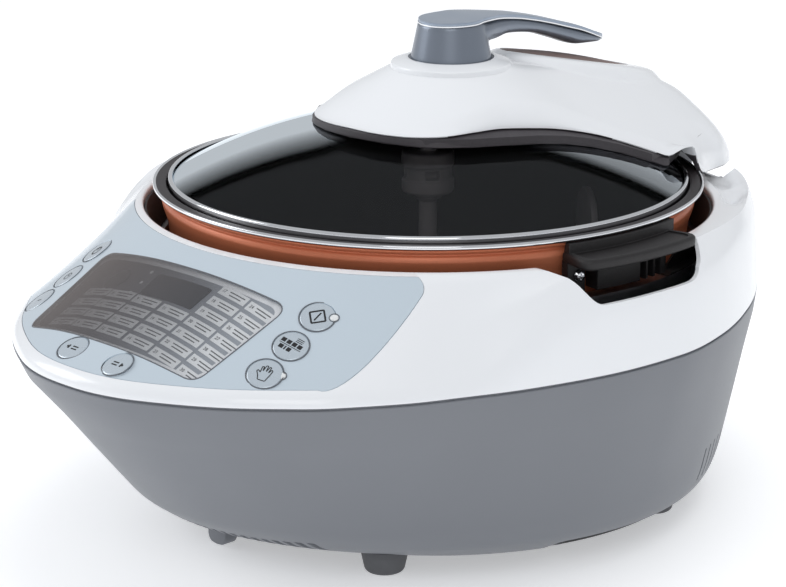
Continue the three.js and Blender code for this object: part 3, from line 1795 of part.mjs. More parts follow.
// Gear outline with straight-flanked teeth. A tooth, or a gap, lies at the first angle.
function gearOutline(teeth, radius, firstAngle, gapFirst) {
  const pitch = (2 * Math.PI) / teeth;
  const start = firstAngle + (gapFirst ? pitch / 2 : 0);
  const tip = radius + gearModule * toothHeightShare;
  const root = radius - gearModule * toothDepthShare;
  const points = [];
  for (let i = 0; i < teeth; i += 1) {
    const middle = start + i * pitch;
    const [tipHalf, rootHalf] = toothHalfShares.map((share) => share * pitch);
    [
      [root, -rootHalf],
      [tip, -tipHalf],
      [tip, tipHalf],
      [root, rootHalf],
    ].forEach(([r, offset]) => {
      points.push(mm2(r * Math.cos(middle + offset), r * Math.sin(middle + offset)));
    });
  }
  return points;
}

function gear(teeth, radius, firstAngle, gapFirst, bore) {
  return prism(gearOutline(teeth, radius, firstAngle, gapFirst), gearLow, gearLow + gearWidth).subtract(
    bar(bore, 0, leverTop, barSteps),
  );
}

function makeDrive() {
  const output = gear(outputTeeth, outputRadius, quarterTurn, false, shaftRadius + seamGap);
  piece("output_gear", output, "nylon");
  const idler = gear(idlerTeeth, idlerRadius, -quarterTurn, true, axleRadius + seamGap);
  piece("idler_gear", moved(idler, 0, idlerCentre, 0), "nylon");
  const pinion = gear(motorTeeth, motorGearRadius, -quarterTurn, true, motorShaft + seamGap);
  piece("motor_gear", moved(pinion, 0, motorCentre, 0), "nylon");

  const axleBottom = armFloor(0, idlerCentre) + seamGap;
  const axle = bar(axleRadius, axleBottom, gearLow + gearWidth + seamGap, smallSteps);
  piece("idler_axle", moved(axle, 0, idlerCentre, 0), "steel");

  const motorTop = gearLow - gearRunningGap;
  const ear = motorRadius + motorEar;
  const motor = union([
    bar(motorRadius, motorTop - motorHeight, motorTop, middleSteps),
    block(-ear, ear, -motorEar, motorEar, motorTop - motorEar / 2, motorTop),
    bar(motorShaft, motorTop - seamGap, gearLow + gearWidth, smallSteps),
  ]);
  piece("mixing_motor", moved(motor, 0, motorCentre, 0), "darkSteel");

  const couplingTop = domeHeight(clampRadius) - glassThickness - clampThickness - 2 * armBaseGap;
  const slotMiddle = couplingTop - couplingHeight / 2;
  const slot = block(
    -couplingSlotWidth / 2,
    couplingSlotWidth / 2,
    shaftRadius + seamGap,
    couplingRadius + overrun,
    slotMiddle - couplingSlotHeight / 2,
    slotMiddle + couplingSlotHeight / 2,
  );
  let coupling = bar(couplingRadius, couplingTop - couplingHeight, couplingTop, middleSteps);
  for (let i = 0; i < 4; i += 1) {
    coupling = coupling.subtract(turnedBy(slot, i * quarterTurn + scraperAngle));
  }
  const shaftBottom = paddleBottom + bladeThickness + seamGap;
  const shaft = bar(shaftRadius, shaftBottom, gearLow + gearWidth, barSteps);
  piece("drive_shaft", coupling.add(shaft), "smokyNylon");

  const blade = (turn, length) => {
    const sections = bladeStationShares.map(([reachShare, heightShare]) => {
      const reach = blend(shaftRadius + bladeThickness / 2, length, reachShare);
      const lean = bladeLean * reachShare * reachShare;
      const top = paddleBottom + bladeHeight * heightShare;
      return [
        [reach, lean - bladeThickness / 2, paddleBottom],
        [reach, lean + bladeThickness / 2, paddleBottom],
        [reach, lean + bladeThickness / 2, top],
        [reach, lean - bladeThickness / 2, top],
      ];
    });
    return turnedBy(lofted(sections), turn);
  };
  const arch = new THREE.Shape();
  arch.moveTo(-scraperHalfWidth, paddleBottom);
  arch.lineTo(-scraperHalfWidth, scraperTop - scraperHalfWidth);
  arch.absarc(0, scraperTop - scraperHalfWidth, scraperHalfWidth, Math.PI, 0, true);
  arch.lineTo(scraperHalfWidth, paddleBottom);
  const settings = { depth: bladeThickness, bevelEnabled: false, curveSegments: 14 };
  const plate = new THREE.ExtrudeGeometry(arch, settings);
  plate.rotateX(quarterTurn).rotateZ(quarterTurn).translate(scraperReach, bladeLean, 0);
  const hubTop = paddleBottom + paddleHubHeight;
  const paddle = union([
    bar(paddleHub, paddleBottom, hubTop, 20, paddleHub - bladeThickness / 2),
    blade(scraperAngle, scraperReach + bladeThickness),
    blade(scraperAngle + Math.PI, paddleReach),
    turnedBy(solid(plate), scraperAngle),
  ]).subtract(bar(shaftRadius + seamGap, shaftBottom - seamGap, leverTop, barSteps));
  piece("mixing_paddle", paddle, "smokyNylon");
}

makeBody();
makeControls();
makePot();
makeHeating();
makeBase();
makePower();
makeHinge();
makeLid();
makeArm();
makeLever();
makeDrive();

// The overall middle, front to back, goes over the origin
appliance.position.y = (frontReach - rearReach) / 2;
const multicooker = new THREE.Group();
multicooker.name = "multicooker";
multicooker.add(appliance);

export default multicooker;
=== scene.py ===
"""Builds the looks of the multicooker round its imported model: shells, deck, pot, lid, arm and drive."""

import math

import bmesh
import bpy
import numpy as np
from bpy.props import FloatProperty, FloatVectorProperty, PointerProperty
from bpy.types import Operator, Panel, PropertyGroup
from mathutils import Matrix, Vector


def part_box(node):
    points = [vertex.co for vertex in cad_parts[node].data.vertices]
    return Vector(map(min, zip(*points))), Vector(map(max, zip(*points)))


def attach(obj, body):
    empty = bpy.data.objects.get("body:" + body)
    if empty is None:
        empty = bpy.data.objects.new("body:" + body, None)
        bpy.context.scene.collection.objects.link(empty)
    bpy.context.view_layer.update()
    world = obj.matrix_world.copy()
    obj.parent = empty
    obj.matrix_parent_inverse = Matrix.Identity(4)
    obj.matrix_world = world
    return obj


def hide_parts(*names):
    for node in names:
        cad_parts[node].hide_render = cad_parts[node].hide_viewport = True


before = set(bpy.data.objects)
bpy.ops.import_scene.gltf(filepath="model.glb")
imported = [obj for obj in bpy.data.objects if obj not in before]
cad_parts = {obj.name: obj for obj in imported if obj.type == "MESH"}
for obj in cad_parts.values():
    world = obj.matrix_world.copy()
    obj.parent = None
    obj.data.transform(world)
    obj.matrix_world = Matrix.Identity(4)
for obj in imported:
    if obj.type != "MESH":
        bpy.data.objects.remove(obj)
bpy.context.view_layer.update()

bl_info = {
    "name": "Multicooker",
    "version": (1, 0, 0),
    "blender": (4, 5, 0),
    "location": "View3D > Sidebar > Multicooker",
    "description": "Shells, deck, pot, lid and arm of a countertop multicooker",
    "category": "Object",
}

# The shapes are worked out in millimetres about the pot's axis, with the nose towards -Y. In the
# frame the pot stands a little behind the origin.
PER_METRE = 1000.0
POT_LOW, POT_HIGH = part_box("pot")
POT_SHIFT = (POT_LOW.y + POT_HIGH.y) / 2 * PER_METRE
QUARTER = math.pi / 2

# Outline of the body, seen from above: bulge towards the nose and the tail by share of a quarter
NOSE = (
    (0, 1),
    (0.05, 0.992),
    (0.095, 0.956),
    (0.15, 0.88),
    (0.23, 0.766),
    (0.303, 0.646),
    (0.351, 0.577),
    (0.408, 0.473),
    (0.483, 0.357),
    (0.551, 0.25),
    (0.616, 0.18),
    (0.732, 0.086),
    (0.89, 0.022),
    (1, 0),
)
TAIL = ((0, 0), (0.16, -0.18), (0.3, -0.26), (0.4, -0.18), (0.5, 0), (0.58, 0.24), (0.76, 0.75), (1, 1))

# Shoulder of the upper shell: how far in and how far down, by step along it
SHOULDER_IN = ((2, 1), (3, 0.65), (4, 0.4), (5, 0.22), (6, 0.08), (7, 0))
SHOULDER_DOWN = ((2, 0), (3, 0.11), (4, 0.22), (5, 0.42), (6, 0.75), (7, 1))

# Wall of the lower shell: how far down and how far inwards, from the seam to the base
LOWER_WALL = (
    (0, 0),
    (0.1, 0.04),
    (0.3, 0.203),
    (0.5, 0.355),
    (0.7, 0.51),
    (0.82, 0.605),
    (0.91, 0.721),
    (0.96, 0.852),
    (1, 1),
)

# Outline of the arm, seen from above: share of its length by share of a half turn
ARM_OUTLINE = (
    (0, 0.886),
    (0.06, 0.878),
    (0.128, 0.848),
    (0.205, 0.758),
    (0.283, 0.663),
    (0.37, 0.606),
    (0.46, 0.611),
    (0.536, 0.671),
    (0.602, 0.765),
    (0.639, 0.818),
    (0.693, 0.848),
    (0.746, 0.868),
    (0.787, 0.917),
    (0.816, 0.985),
    (0.852, 1.045),
    (0.905, 1.03),
    (1, 1),
)

# Lower edge of the white cover, in the same way. From its waist on it is the arm's outline.
COVER_EDGE = (
    (0, 0.9),
    (0.05, 0.9),
    (0.1, 0.878),
    (0.15, 0.819),
    (0.191, 0.732),
    (0.235, 0.653),
    (0.32, 0.584),
    (0.37, 0.565),
    (0.421, 0.566),
    (0.476, 0.588),
    (0.522, 0.634),
    (0.558, 0.681),
    (0.602, 0.745),
    (0.639, 0.81),
    *ARM_OUTLINE[-7:],
)

# How the arm's spine falls from the collar to its rear, the height of its edge round the mouth,
# and the side of the hump on its back
SPINE_DROP = ((0, 0), (0.25, 0.095), (0.53, 0.21), (0.8, 0.36), (0.93, 0.49), (1, 0.58))
COWL_EDGE = (
    (0.645, 194),
    (0.656, 191),
    (0.664, 185),
    (0.674, 180),
    (0.685, 177),
    (0.7, 175.4),
    (0.74, 172.6),
    (0.8, 169.8),
    (0.86, 169.4),
    (1, 169.4),
)
HUMP_SIDE = ((0, 1), (0.66, 1), (0.8, 0.985), (0.88, 0.94), (0.94, 0.84), (0.98, 0.66), (1, 0.4))

# Lever stations: reach, half width, top and underside as shares
LEVER = (
    (0, 0.95, 0.94, 0.3),
    (0.106, 0.9, 0.965, 0.27),
    (0.216, 0.68, 0.945, 0.266),
    (0.3, 0.58, 0.9, 0.335),
    (0.386, 0.54, 0.83, 0.312),
    (0.504, 0.52, 0.693, 0.22),
    (0.614, 0.52, 0.54, 0.046),
    (0.713, 0.54, 0.385, -0.133),
    (0.797, 0.56, 0.257, -0.284),
    (0.869, 0.54, 0.12, -0.312),
    (0.953, 0.46, -0.05, -0.33),
    (1, 0.3, -0.12, -0.32),
)

# Turns from the X axis of the pot's two handles and of the notches that they sit in
HANDLE_TURNS = {"right": math.radians(-4.5), "left": math.radians(175.5)}

# Feet and base screws: turns from the nose in degrees, and the circle that they stand on
FOOT_TURNS, FOOT_CIRCLE = (35.2, 119, 241, 324.8), 129.5
SCREW_TURNS, SCREW_CIRCLE = (76, 160, 200, 284), 131

# Side vents: first turn from the X axis and pitch in degrees. Grille: slots each side of the
# middle, pitch and width.
VENT_TURN, VENT_PITCH, VENTS = 22.4, 3, 5
GRILLE_SLOTS, GRILLE_PITCH, GRILLE_WIDTH = 12, 5.9, 3.5

# Hump on the arm, and the oval dish in it: middle along the arm, half width and half length
HUMP_MIDDLE, HUMP_WIDE, HUMP_LONG = 118, 34, 67
DISH_MIDDLE, DISH_WIDE, DISH_LONG = 109.5, 23, 48

# Radius of the lever's round end
LEVER_HUB = 18

# Keys: name, across, along and radius. Lights: name, across and along.
KEYS = (
    ("key_right_1", 86, -162.3, 8.8),
    ("key_right_2", 87.2, -181.2, 8.8),
    ("key_right_3", 88.4, -199.5, 8.8),
    ("key_left_1", -86, -162.3, 8.8),
    ("key_left_2", -87.2, -181.2, 8.8),
    ("key_left_3", -88.4, -199.5, 8.8),
    ("key_hour", -11.8, -237.5, 8.1),
    ("key_minute", 23.0, -237.5, 8.1),
)
LIGHTS = (("start_light", 92.69, -157.46), ("manual_light", 95.09, -194.66))

# Places of the printed plates on the card
LABEL_COLUMNS = (59.6, 39.5, 18.6, -2.8, -23.2, -43.0)
LABEL_ROWS = (-175.9, -183.4, -190.9, -198.6, -206.2, -213.7, -221.3)


def length(title, millimetres, words):
    return FloatProperty(
        name=title, description=words, default=millimetres / PER_METRE, min=0, unit="LENGTH"
    )


def colour(title, red, green, blue, words):
    def linear(part):
        share = part / 255
        return share / 12.92 if share <= 0.04045 else ((share + 0.055) / 1.055) ** 2.4

    return FloatVectorProperty(
        name=title,
        description=words,
        default=(linear(red), linear(green), linear(blue)),
        size=3,
        min=0,
        max=1,
        subtype="COLOR",
    )


class BodySizes(PropertyGroup):
    """Sizes of the two shells."""

    front_reach: length("Front reach", 253.8, "Pot's axis to the nose, at the seam")
    side_reach: length("Side reach", 181.5, "Pot's axis to either side, at the seam")
    rear_reach: length("Rear reach", 199, "Pot's axis to the tail, at the seam")
    seam_height: length("Seam height", 117.5, "Table to the seam between the shells")
    top_height: length("Top height", 168.4, "Table to the top of the upper shell")
    opening_radius: length("Opening radius", 155, "Radius of the opening for the pot")
    wall: length("Wall", 2.6, "Thickness of the shells")
    base_radius: length("Base radius", 138, "Radius of the underside at the nose")
    base_rear_radius: length("Rear base radius", 157, "Radius of the underside at the tail")
    base_height: length("Base height", 12, "Table to the lower shell's edge")
    shoulder_run: length("Shoulder run", 14.5, "Width of the rounded shoulder")


class DeckSizes(PropertyGroup):
    """Sizes of the sloping deck and its panel."""

    ring: length("Ring radius", 160, "Radius at which the deck starts to fall")
    edge_run: length("Edge run", 4.5, "Width of the rounded edge at the nose")
    edge_rise: length("Edge rise", 7, "Height of the rounded edge at the nose")
    panel_half_width: length("Panel half width", 119, "Half the width of the silver panel")
    panel_margin: length("Panel margin", 5.8, "Shell left showing in front of the panel")
    window_half_width: length("Window half width", 70, "Half the width of the window at its top")
    window_top: length("Window top", 168.5, "Pot's axis to the window's top edge")
    window_bottom: length("Window bottom", 224.2, "Pot's axis to the window's bottom edge")


class PotSizes(PropertyGroup):
    """Sizes of the pot."""

    flange_top: length("Flange top", 180, "Table to the top of the flange")
    mouth_radius: length("Mouth radius", 142.6, "Radius of the pot's mouth")
    top_radius: length("Top radius", 143.6, "Outer radius of the wall under the flange")
    bottom_radius: length("Bottom radius", 131, "Outer radius of the wall at the bottom")
    bottom: length("Bottom", 58, "Table to the pot's underside")


class LidSizes(PropertyGroup):
    """Sizes of the lid, its arm and its lever."""

    rim_radius: length("Rim radius", 141.6, "Outer radius of the bright rim")
    rim_top: length("Rim top", 182.6, "Table to the top of the rim")
    glass_sphere: length("Glass sphere", 294.82, "Radius of the dome's sphere")
    glass_top: length("Glass top", 215.6, "Table to the middle of the dome")
    glass_radius: length("Glass radius", 139.7, "Radius of the glass")
    glass_thickness: length("Glass thickness", 3, "Thickness of the glass")
    arm_centre: length("Arm centre", 60, "Pot's axis to the middle of the arm")
    arm_length: length("Arm length", 132, "Middle of the arm to its rear")
    band_height: length("Band height", 4.6, "Height of the dark band under the arm")
    collar_height: length("Collar height", 243.4, "Table to the collar round the lever")
    lever_centre: length("Lever centre", 17.5, "Pot's axis to the lever's axis")
    lever_reach: length("Lever reach", 118, "Length of the lever from its axis")
    lever_top: length("Lever top", 266, "Table to the top of the lever")


class Colours(PropertyGroup):
    """Colours of the visible finishes."""

    white: colour("White", 240, 242, 245, "Upper shell and arm")
    grey: colour("Grey", 118, 121, 127, "Lower shell")
    silver: colour("Silver", 207, 220, 230, "Control panel")
    key: colour("Key", 205, 216, 225, "Key caps")
    copper: colour("Copper", 226, 134, 96, "Outside of the pot")
    black: colour("Black", 32, 30, 31, "Pot handles and surround")
    band: colour("Band", 58, 54, 58, "Band under the arm")
    blue: colour("Blue grey", 130, 138, 150, "Lever")
    blue_top: colour("Light blue grey", 156, 168, 184, "Top plate of the lever")
    brown: colour("Brown", 128, 110, 106, "Dish on the arm")
    lining: colour("Lining", 34, 29, 31, "Non-stick inside of the pot")


GROUPS = {
    "cooker_body": BodySizes,
    "cooker_deck": DeckSizes,
    "cooker_pot": PotSizes,
    "cooker_lid": LidSizes,
}


def along(table, share):
    """Smooth curve through a table of places and values, level at both ends."""
    rows = np.array(table, float)
    places, values = rows[:, 0], rows[:, 1]
    slopes = np.zeros(len(rows))
    slopes[1:-1] = (values[2:] - values[:-2]) / (places[2:] - places[:-2])
    t = np.clip(share, places[0], places[-1])
    i = np.clip(np.searchsorted(places, t) - 1, 0, len(rows) - 2)
    span = places[i + 1] - places[i]
    s = (t - places[i]) / span
    rest = 1 - s
    start = values[i] * (1 + 2 * s) * rest * rest + slopes[i] * span * s * rest * rest
    return start + values[i + 1] * s * s * (3 - 2 * s) - slopes[i + 1] * span * s * s * rest


def ramp(low, high, value):
    """Share of the way from low to high, eased at both ends."""
    s = np.clip((value - low) / (high - low), 0, 1)
    return s * s * (3 - 2 * s)


def blend(a, b, share):
    return a + (b - a) * share


def soft_max(a, b, width):
    """The larger of two values, rounded over where they are near each other."""
    return (a + b + np.sqrt((a - b) ** 2 + width * width)) / 2


def curve(start, middle, end, steps=8):
    """Quadratic curve without its first point."""
    start, middle, end = (np.array(p, float) for p in (start, middle, end))
    shares = [(k + 1) / steps for k in range(steps)]
    return [tuple((1 - t) ** 2 * start + 2 * t * (1 - t) * middle + t * t * end) for t in shares]


def rounded(points, size, steps=4, closed=False):
    """The same outline with each corner turned into a small curve."""
    points = [np.array(p, float) for p in points]
    count = len(points)
    made = []
    for i, corner in enumerate(points):
        if not closed and i in (0, count - 1):
            made.append(corner)
            continue
        back, on = points[i - 1] - corner, points[(i + 1) % count] - corner
        reach = min(size, 0.45 * np.linalg.norm(back), 0.45 * np.linalg.norm(on))
        start = corner + back / np.linalg.norm(back) * reach
        end = corner + on / np.linalg.norm(on) * reach
        made.append(start)
        made += [np.array(p) for p in curve(start, corner, end, steps)]
    return [tuple(p) for p in made]


class Form:
    """The sizes in millimetres, and the surfaces that follow from them."""

    def __init__(self, scene):
        for group in GROUPS:
            values = getattr(scene, group)
            for name in values.__annotations__:
                setattr(self, name, getattr(values, name) * PER_METRE)

    def reach_at(self, angle):
        quarters = np.abs(angle) / QUARTER
        nose = along(NOSE, np.minimum(quarters, 1)) * (self.front_reach - self.side_reach)
        tail = along(TAIL, np.maximum(quarters - 1, 0)) * (self.rear_reach - self.side_reach)
        return self.side_reach + np.where(quarters <= 1, nose, tail)

    def base_at(self, angle):
        rearward = (1 - math.cos(angle)) / 2
        return blend(self.base_radius, self.base_rear_radius, rearward**1.7)

    def edge_lift(self, angle):
        """The lower shell's edge stands higher but for a stretch over each front foot."""
        turn = math.degrees(abs(angle))
        return 4 * (1 - ramp(36, 40, turn) * (1 - ramp(71, 75, turn)))

    def lower_wall(self, angle, inset=0.0):
        reach, base = float(self.reach_at(angle)), self.base_at(angle)
        made = []
        for down, inward in LOWER_WALL[1:]:
            height = blend(self.seam_height - 0.3, self.base_height, down)
            if down == 1:
                height += self.edge_lift(angle)
            floor = inset * float(ramp(0.8, 0.96, down))
            made.append((blend(reach, base, inward) - inset, height + floor))
        return made

    def deck_height(self, angle, radius):
        edge = self.reach_at(angle) - self.edge_run
        high = self.top_height - 1.4
        share = (radius - self.ring) / (edge - self.ring)
        return blend(high, self.seam_height + self.edge_rise, share)

    def on_deck(self, x, y):
        return self.deck_height(np.arctan2(x, -y), np.hypot(x, y))

    def deck_normal(self, x, y):
        step = 1.6
        rise = self.on_deck(x + step, y) - self.on_deck(x - step, y)
        climb = self.on_deck(x, y + step) - self.on_deck(x, y - step)
        normal = np.array([-rise / (2 * step), -climb / (2 * step), 1.0])
        return normal / np.linalg.norm(normal)

    def shell_run(self):
        return np.concatenate([np.linspace(0, 4, 13)[:-1], np.linspace(4, 7, 16)])

    def side_share(self, angle):
        return ramp(math.radians(46), math.radians(74), abs(angle))

    def wall_lean(self, angle):
        """Way from the shell's inner face to its outer face, from upwards to outwards."""
        run = self.shell_run()
        start = blend(4, 2, self.side_share(angle))
        lean = QUARTER * np.clip((run - start) / (7 - start), 0, 1)
        return np.stack([np.sin(lean), np.cos(lean)], 1)

    def shell_profile(self, angle):
        """Outer face of the upper shell at one angle, from the deck's ring to the seam."""
        reach = self.reach_at(angle)
        edge = reach - self.edge_run
        rim = self.seam_height + self.edge_rise
        run = self.shell_run()
        share = np.minimum(run / 4, 1)
        s = np.clip((run - 4) / 3, 0, 1)
        flat = blend(self.ring, edge, share)
        fall = self.deck_height(angle, flat)
        slope = (rim - self.top_height + 1.4) / (edge - self.ring)
        bend = rim + slope * self.edge_run
        turn_r = (1 - s) ** 2 * edge + 2 * s * (1 - s) * reach + s * s * reach
        turn_z = (1 - s) ** 2 * rim + 2 * s * (1 - s) * bend + s * s * self.seam_height
        front = np.stack([np.where(run < 4, flat, turn_r), np.where(run < 4, fall, turn_z)], 1)
        level = np.interp(run, [0, 1, 2], [0, 0.4, 1])
        shoulder_run = self.shoulder_run * (1 - 0.53 * ramp(100, 126, math.degrees(abs(angle))))
        shoulder = reach - shoulder_run
        scoop = self.scoop(angle, level)
        side_r = np.where(
            run < 2,
            blend(self.ring, shoulder, level),
            reach - shoulder_run * along(SHOULDER_IN, run),
        )
        down = along(SHOULDER_DOWN, run) * (run > 2)
        side_z = blend(self.top_height, self.seam_height, down) - scoop
        side = np.stack([side_r, side_z], 1)
        return blend(front, side, self.side_share(angle))

    def scoop(self, angle, level):
        """Depth of the finger scoops at the rear of the shoulder."""
        turn = math.degrees(abs(angle))
        length_share = ramp(127, 138, turn) * (1 - 0.35 * ramp(150, 158, turn))
        fold = 1 - 0.35 * np.clip(1 - abs(turn - 145) / 7, 0, 1)
        across = np.sin(np.pi * np.clip(level, 0, 1) ** 0.8) ** 1.2
        return 6.2 * length_share * across * fold * (level < 1)

    def panel_outline(self, grow=0.0):
        corner = math.radians(31)
        inner_angle = math.asin((self.panel_half_width - 9.4) / self.ring)

        def front(angle):
            radius = self.reach_at(angle) - self.panel_margin + grow
            return radius * math.sin(angle), -radius * math.cos(angle)

        points = [front(a) for a in np.linspace(-corner, corner, 49)]
        side = self.panel_half_width + grow
        inner_side = side - 3
        inner = self.ring - grow
        tip = inner * math.sin(inner_angle), -inner * math.cos(inner_angle)
        last = points[-1]
        points += curve(last, (side, last[1] + 3), (side, -160))
        points += curve((side, -160), (side - 0.4, -140), (inner_side, -120.5), 4)
        points += curve((inner_side, -120.5), (inner_side - 0.6, tip[1] + 0.6), tip, 6)
        arc = np.linspace(inner_angle, -inner_angle, 41)[1:]
        points += [(inner * math.sin(a), -inner * math.cos(a)) for a in arc]
        mirrored = [(-x, y) for x, y in points[49 : len(points) - 40]]
        return points + mirrored[::-1][1:]

    def window_outline(self, grow=0.0):
        top, bottom = -self.window_top + grow, -self.window_bottom - grow
        wide = self.window_half_width + grow
        narrow = wide - 5
        points = [(-wide + 6, top)]
        points += curve(points[-1], (0, top - 8), (wide - 6, top), 16)
        points += curve(points[-1], (wide, top), (wide, top - 6), 6)
        points += [(narrow + 1, bottom + 6)]
        points += curve(points[-1], (narrow, bottom), (narrow - 6, bottom - 1.2), 6)
        points += curve(points[-1], (0, bottom - 9.6), (-narrow + 6, bottom - 1.2), 16)
        points += curve(points[-1], (-narrow, bottom), (-narrow - 1, bottom + 6), 6)
        points += [(-wide, top - 6)]
        return points + curve(points[-1], (-wide, top), (-wide + 6, top), 6)[:-1]

    def dome(self, radius):
        return self.glass_top - self.glass_sphere + np.sqrt(self.glass_sphere**2 - radius**2)

    def arm_reach(self, share, table=ARM_OUTLINE):
        return self.arm_length * along(table, share)

    def arm_floor(self, x, y):
        radius = np.minimum(np.hypot(x, y), self.glass_radius)
        return np.maximum(self.dome(radius) + 0.5, self.rim_top + 2.2)

    def spine(self, y):
        rear = self.arm_centre + self.arm_length
        share = (y - self.lever_centre) / (rear - self.lever_centre)
        return self.collar_height - (self.collar_height - 169.4) * along(SPINE_DROP, share)

    def hump_plane(self, y):
        return 228.6 - 0.221 * (y - HUMP_MIDDLE)

    def arm_top(self, x, y):
        """Top of the arm: a cone with a collar, drawn out along its spine, and the hump."""
        d = np.hypot(x, y - self.lever_centre)
        away = np.where(y < self.lever_centre, d, np.abs(x)) - 24
        top = self.spine(y) - 0.55 * (away + np.hypot(away, 5)) / 2
        top = np.where(d < 28, np.minimum(top, self.collar_height - 1.2), top)
        across = np.hypot(x / HUMP_WIDE, (y - HUMP_MIDDLE) / HUMP_LONG)
        hump = self.hump_plane(y) - 26 * (1 - along(HUMP_SIDE, np.minimum(across, 1)))
        hump = np.where(across < 1, hump, top - 30)
        return soft_max(top, np.maximum(hump, top - 30), 1.6)

    def arm_edge(self, share, x, y):
        """Height of the arm's lower edge: over the band, then up into the mouth and down."""
        band = self.arm_floor(x, y) + self.band_height + 0.3
        band = band + 4.6 * ramp(0.596, 0.634, share)
        return np.where(share < 0.645, band, np.minimum(band, along(COWL_EDGE, share)))


def to_frame(points):
    """Points about the pot's axis in millimetres, as points of the frame in metres."""
    moved = np.asarray(points, float) + (0, POT_SHIFT, 0)
    return moved / PER_METRE


def linked(name, data):
    made = bpy.data.objects.new(name, data)
    bpy.context.scene.collection.objects.link(made)
    return made


def linked_shape(name, shape):
    """An object from a bmesh, which is freed."""
    mesh = bpy.data.meshes.new(name)
    shape.to_mesh(mesh)
    shape.free()
    return linked(name, mesh)


def mesh_object(name, points, faces):
    mesh = bpy.data.meshes.new(name)
    mesh.from_pydata(to_frame(points).tolist(), [], [tuple(int(i) for i in f) for f in faces])
    made = linked(name, mesh)
    weld(made)
    return made


def weld(obj, distance=2e-6):
    """Joins points that coincide, drops flat faces and turns all faces outwards."""
    shape = bmesh.new()
    shape.from_mesh(obj.data)
    bmesh.ops.remove_doubles(shape, verts=shape.verts, dist=distance)
    bmesh.ops.dissolve_degenerate(shape, edges=shape.edges, dist=distance)
    bmesh.ops.recalc_face_normals(shape, faces=shape.faces)
    shape.to_mesh(obj.data)
    shape.free()


def settle(obj):
    """Applies an object's modifiers to its mesh."""
    graph = bpy.context.evaluated_depsgraph_get()
    mesh = bpy.data.meshes.new_from_object(obj.evaluated_get(graph))
    old = obj.data
    obj.modifiers.clear()
    obj.data = mesh
    mesh.name = obj.name
    bpy.data.meshes.remove(old)


def swept(name, rings, wrap=True, closed=True):
    """Surface through rings of points. wrap joins the last ring to the first, closed each ring."""
    rings = np.asarray(rings, float)
    rows, columns = rings.shape[:2]
    faces = []
    for i in range(rows if wrap else rows - 1):
        for j in range(columns if closed else columns - 1):
            k, l = (i + 1) % rows, (j + 1) % columns
            faces.append((i * columns + j, i * columns + l, k * columns + l, k * columns + j))
    if closed and not wrap:
        faces.append(tuple(range(columns))[::-1])
        faces.append(tuple((rows - 1) * columns + j for j in range(columns)))
    return mesh_object(name, rings.reshape(-1, 3), faces)


def turned(name, outline, steps=144, centre=(0, 0), closed=False):
    """Body turned about a vertical axis from an outline of radius and height."""
    angles = np.arange(steps) * 2 * math.pi / steps
    r, z = np.array(outline, float).T
    rings = np.stack(
        [
            centre[0] + np.outer(np.sin(angles), r),
            centre[1] - np.outer(np.cos(angles), r),
            np.tile(z, (steps, 1)),
        ],
        2,
    )
    return swept(name, rings, True, closed)


def prism(name, outline, low, high, axis=2):
    """Solid with one outline from low to high along an axis."""
    count = len(outline)
    points = [(*p[:axis], level, *p[axis:]) for level in (low, high) for p in outline]
    faces = [tuple(range(count))[::-1], tuple(range(count, 2 * count))]
    for i in range(count):
        j = (i + 1) % count
        faces.append((i, j, count + j, count + i))
    return mesh_object(name, points, faces)


def block(name, x0, x1, y0, y1, z0, z1):
    return prism(name, [(x0, y0), (x1, y0), (x1, y1), (x0, y1)], z0, z1)


def draped(name, outline, height, thickness, holes=(), pitch=6.0):
    """Plate that follows a height over the plane, with a net fine enough to bend."""
    shape = bmesh.new()
    edges = []
    for loop in (outline, *holes):
        corners = [shape.verts.new((x, y, 0)) for x, y in loop]
        edges += [
            shape.edges.new((corner, corners[(i + 1) % len(corners)]))
            for i, corner in enumerate(corners)
        ]
    bmesh.ops.triangle_fill(shape, use_beauty=True, use_dissolve=False, edges=edges)
    bmesh.ops.dissolve_limit(
        shape, angle_limit=0.01, use_dissolve_boundaries=False, verts=shape.verts, edges=shape.edges
    )
    spread = np.array(outline, float)
    for axis in (0, 1):
        for place in np.arange(spread[:, axis].min() + pitch / 2, spread[:, axis].max(), pitch):
            at, normal = [0.0, 0.0, 0.0], [0.0, 0.0, 0.0]
            at[axis], normal[axis] = place, 1.0
            whole = shape.verts[:] + shape.edges[:] + shape.faces[:]
            bmesh.ops.bisect_plane(shape, geom=whole, plane_co=at, plane_no=normal, dist=1e-4)
    made = bmesh.ops.extrude_face_region(shape, geom=shape.faces[:])
    lifted = {v for v in made["geom"] if isinstance(v, bmesh.types.BMVert)}
    for v in shape.verts:
        v.co.z = float(height(v.co.x, v.co.y)) - (0 if v in lifted else thickness)
    obj = linked_shape(name, shape)
    points = np.array([v.co for v in obj.data.vertices])
    for v, place in zip(obj.data.vertices, to_frame(points)):
        v.co = place
    weld(obj, 1e-7)
    return obj


def joined(name, parts):
    """One object from several."""
    shape = bmesh.new()
    for part in parts:
        shape.from_mesh(part.data)
        bpy.data.objects.remove(part)
    return linked_shape(name, shape)


def combined(target, tools, operation="DIFFERENCE"):
    for tool in tools:
        step = target.modifiers.new(operation, "BOOLEAN")
        step.operation = operation
        step.solver = "EXACT"
        step.object = tool
        settle(target)
        bpy.data.objects.remove(tool)
    weld(target, 1e-6)
    return target


def bevelled(obj, width, segments=2, angle=35):
    step = obj.modifiers.new("edges", "BEVEL")
    step.width = width / PER_METRE
    step.segments = segments
    step.limit_method = "ANGLE"
    step.angle_limit = math.radians(angle)
    settle(obj)
    return obj


def remeshed(obj, voxel, smooth_steps):
    """One smooth skin round pieces that run into each other."""
    step = obj.modifiers.new("skin", "REMESH")
    step.mode = "VOXEL"
    step.voxel_size = voxel / PER_METRE
    soften = obj.modifiers.new("soften", "SMOOTH")
    soften.factor = 0.5
    soften.iterations = smooth_steps
    settle(obj)
    return obj


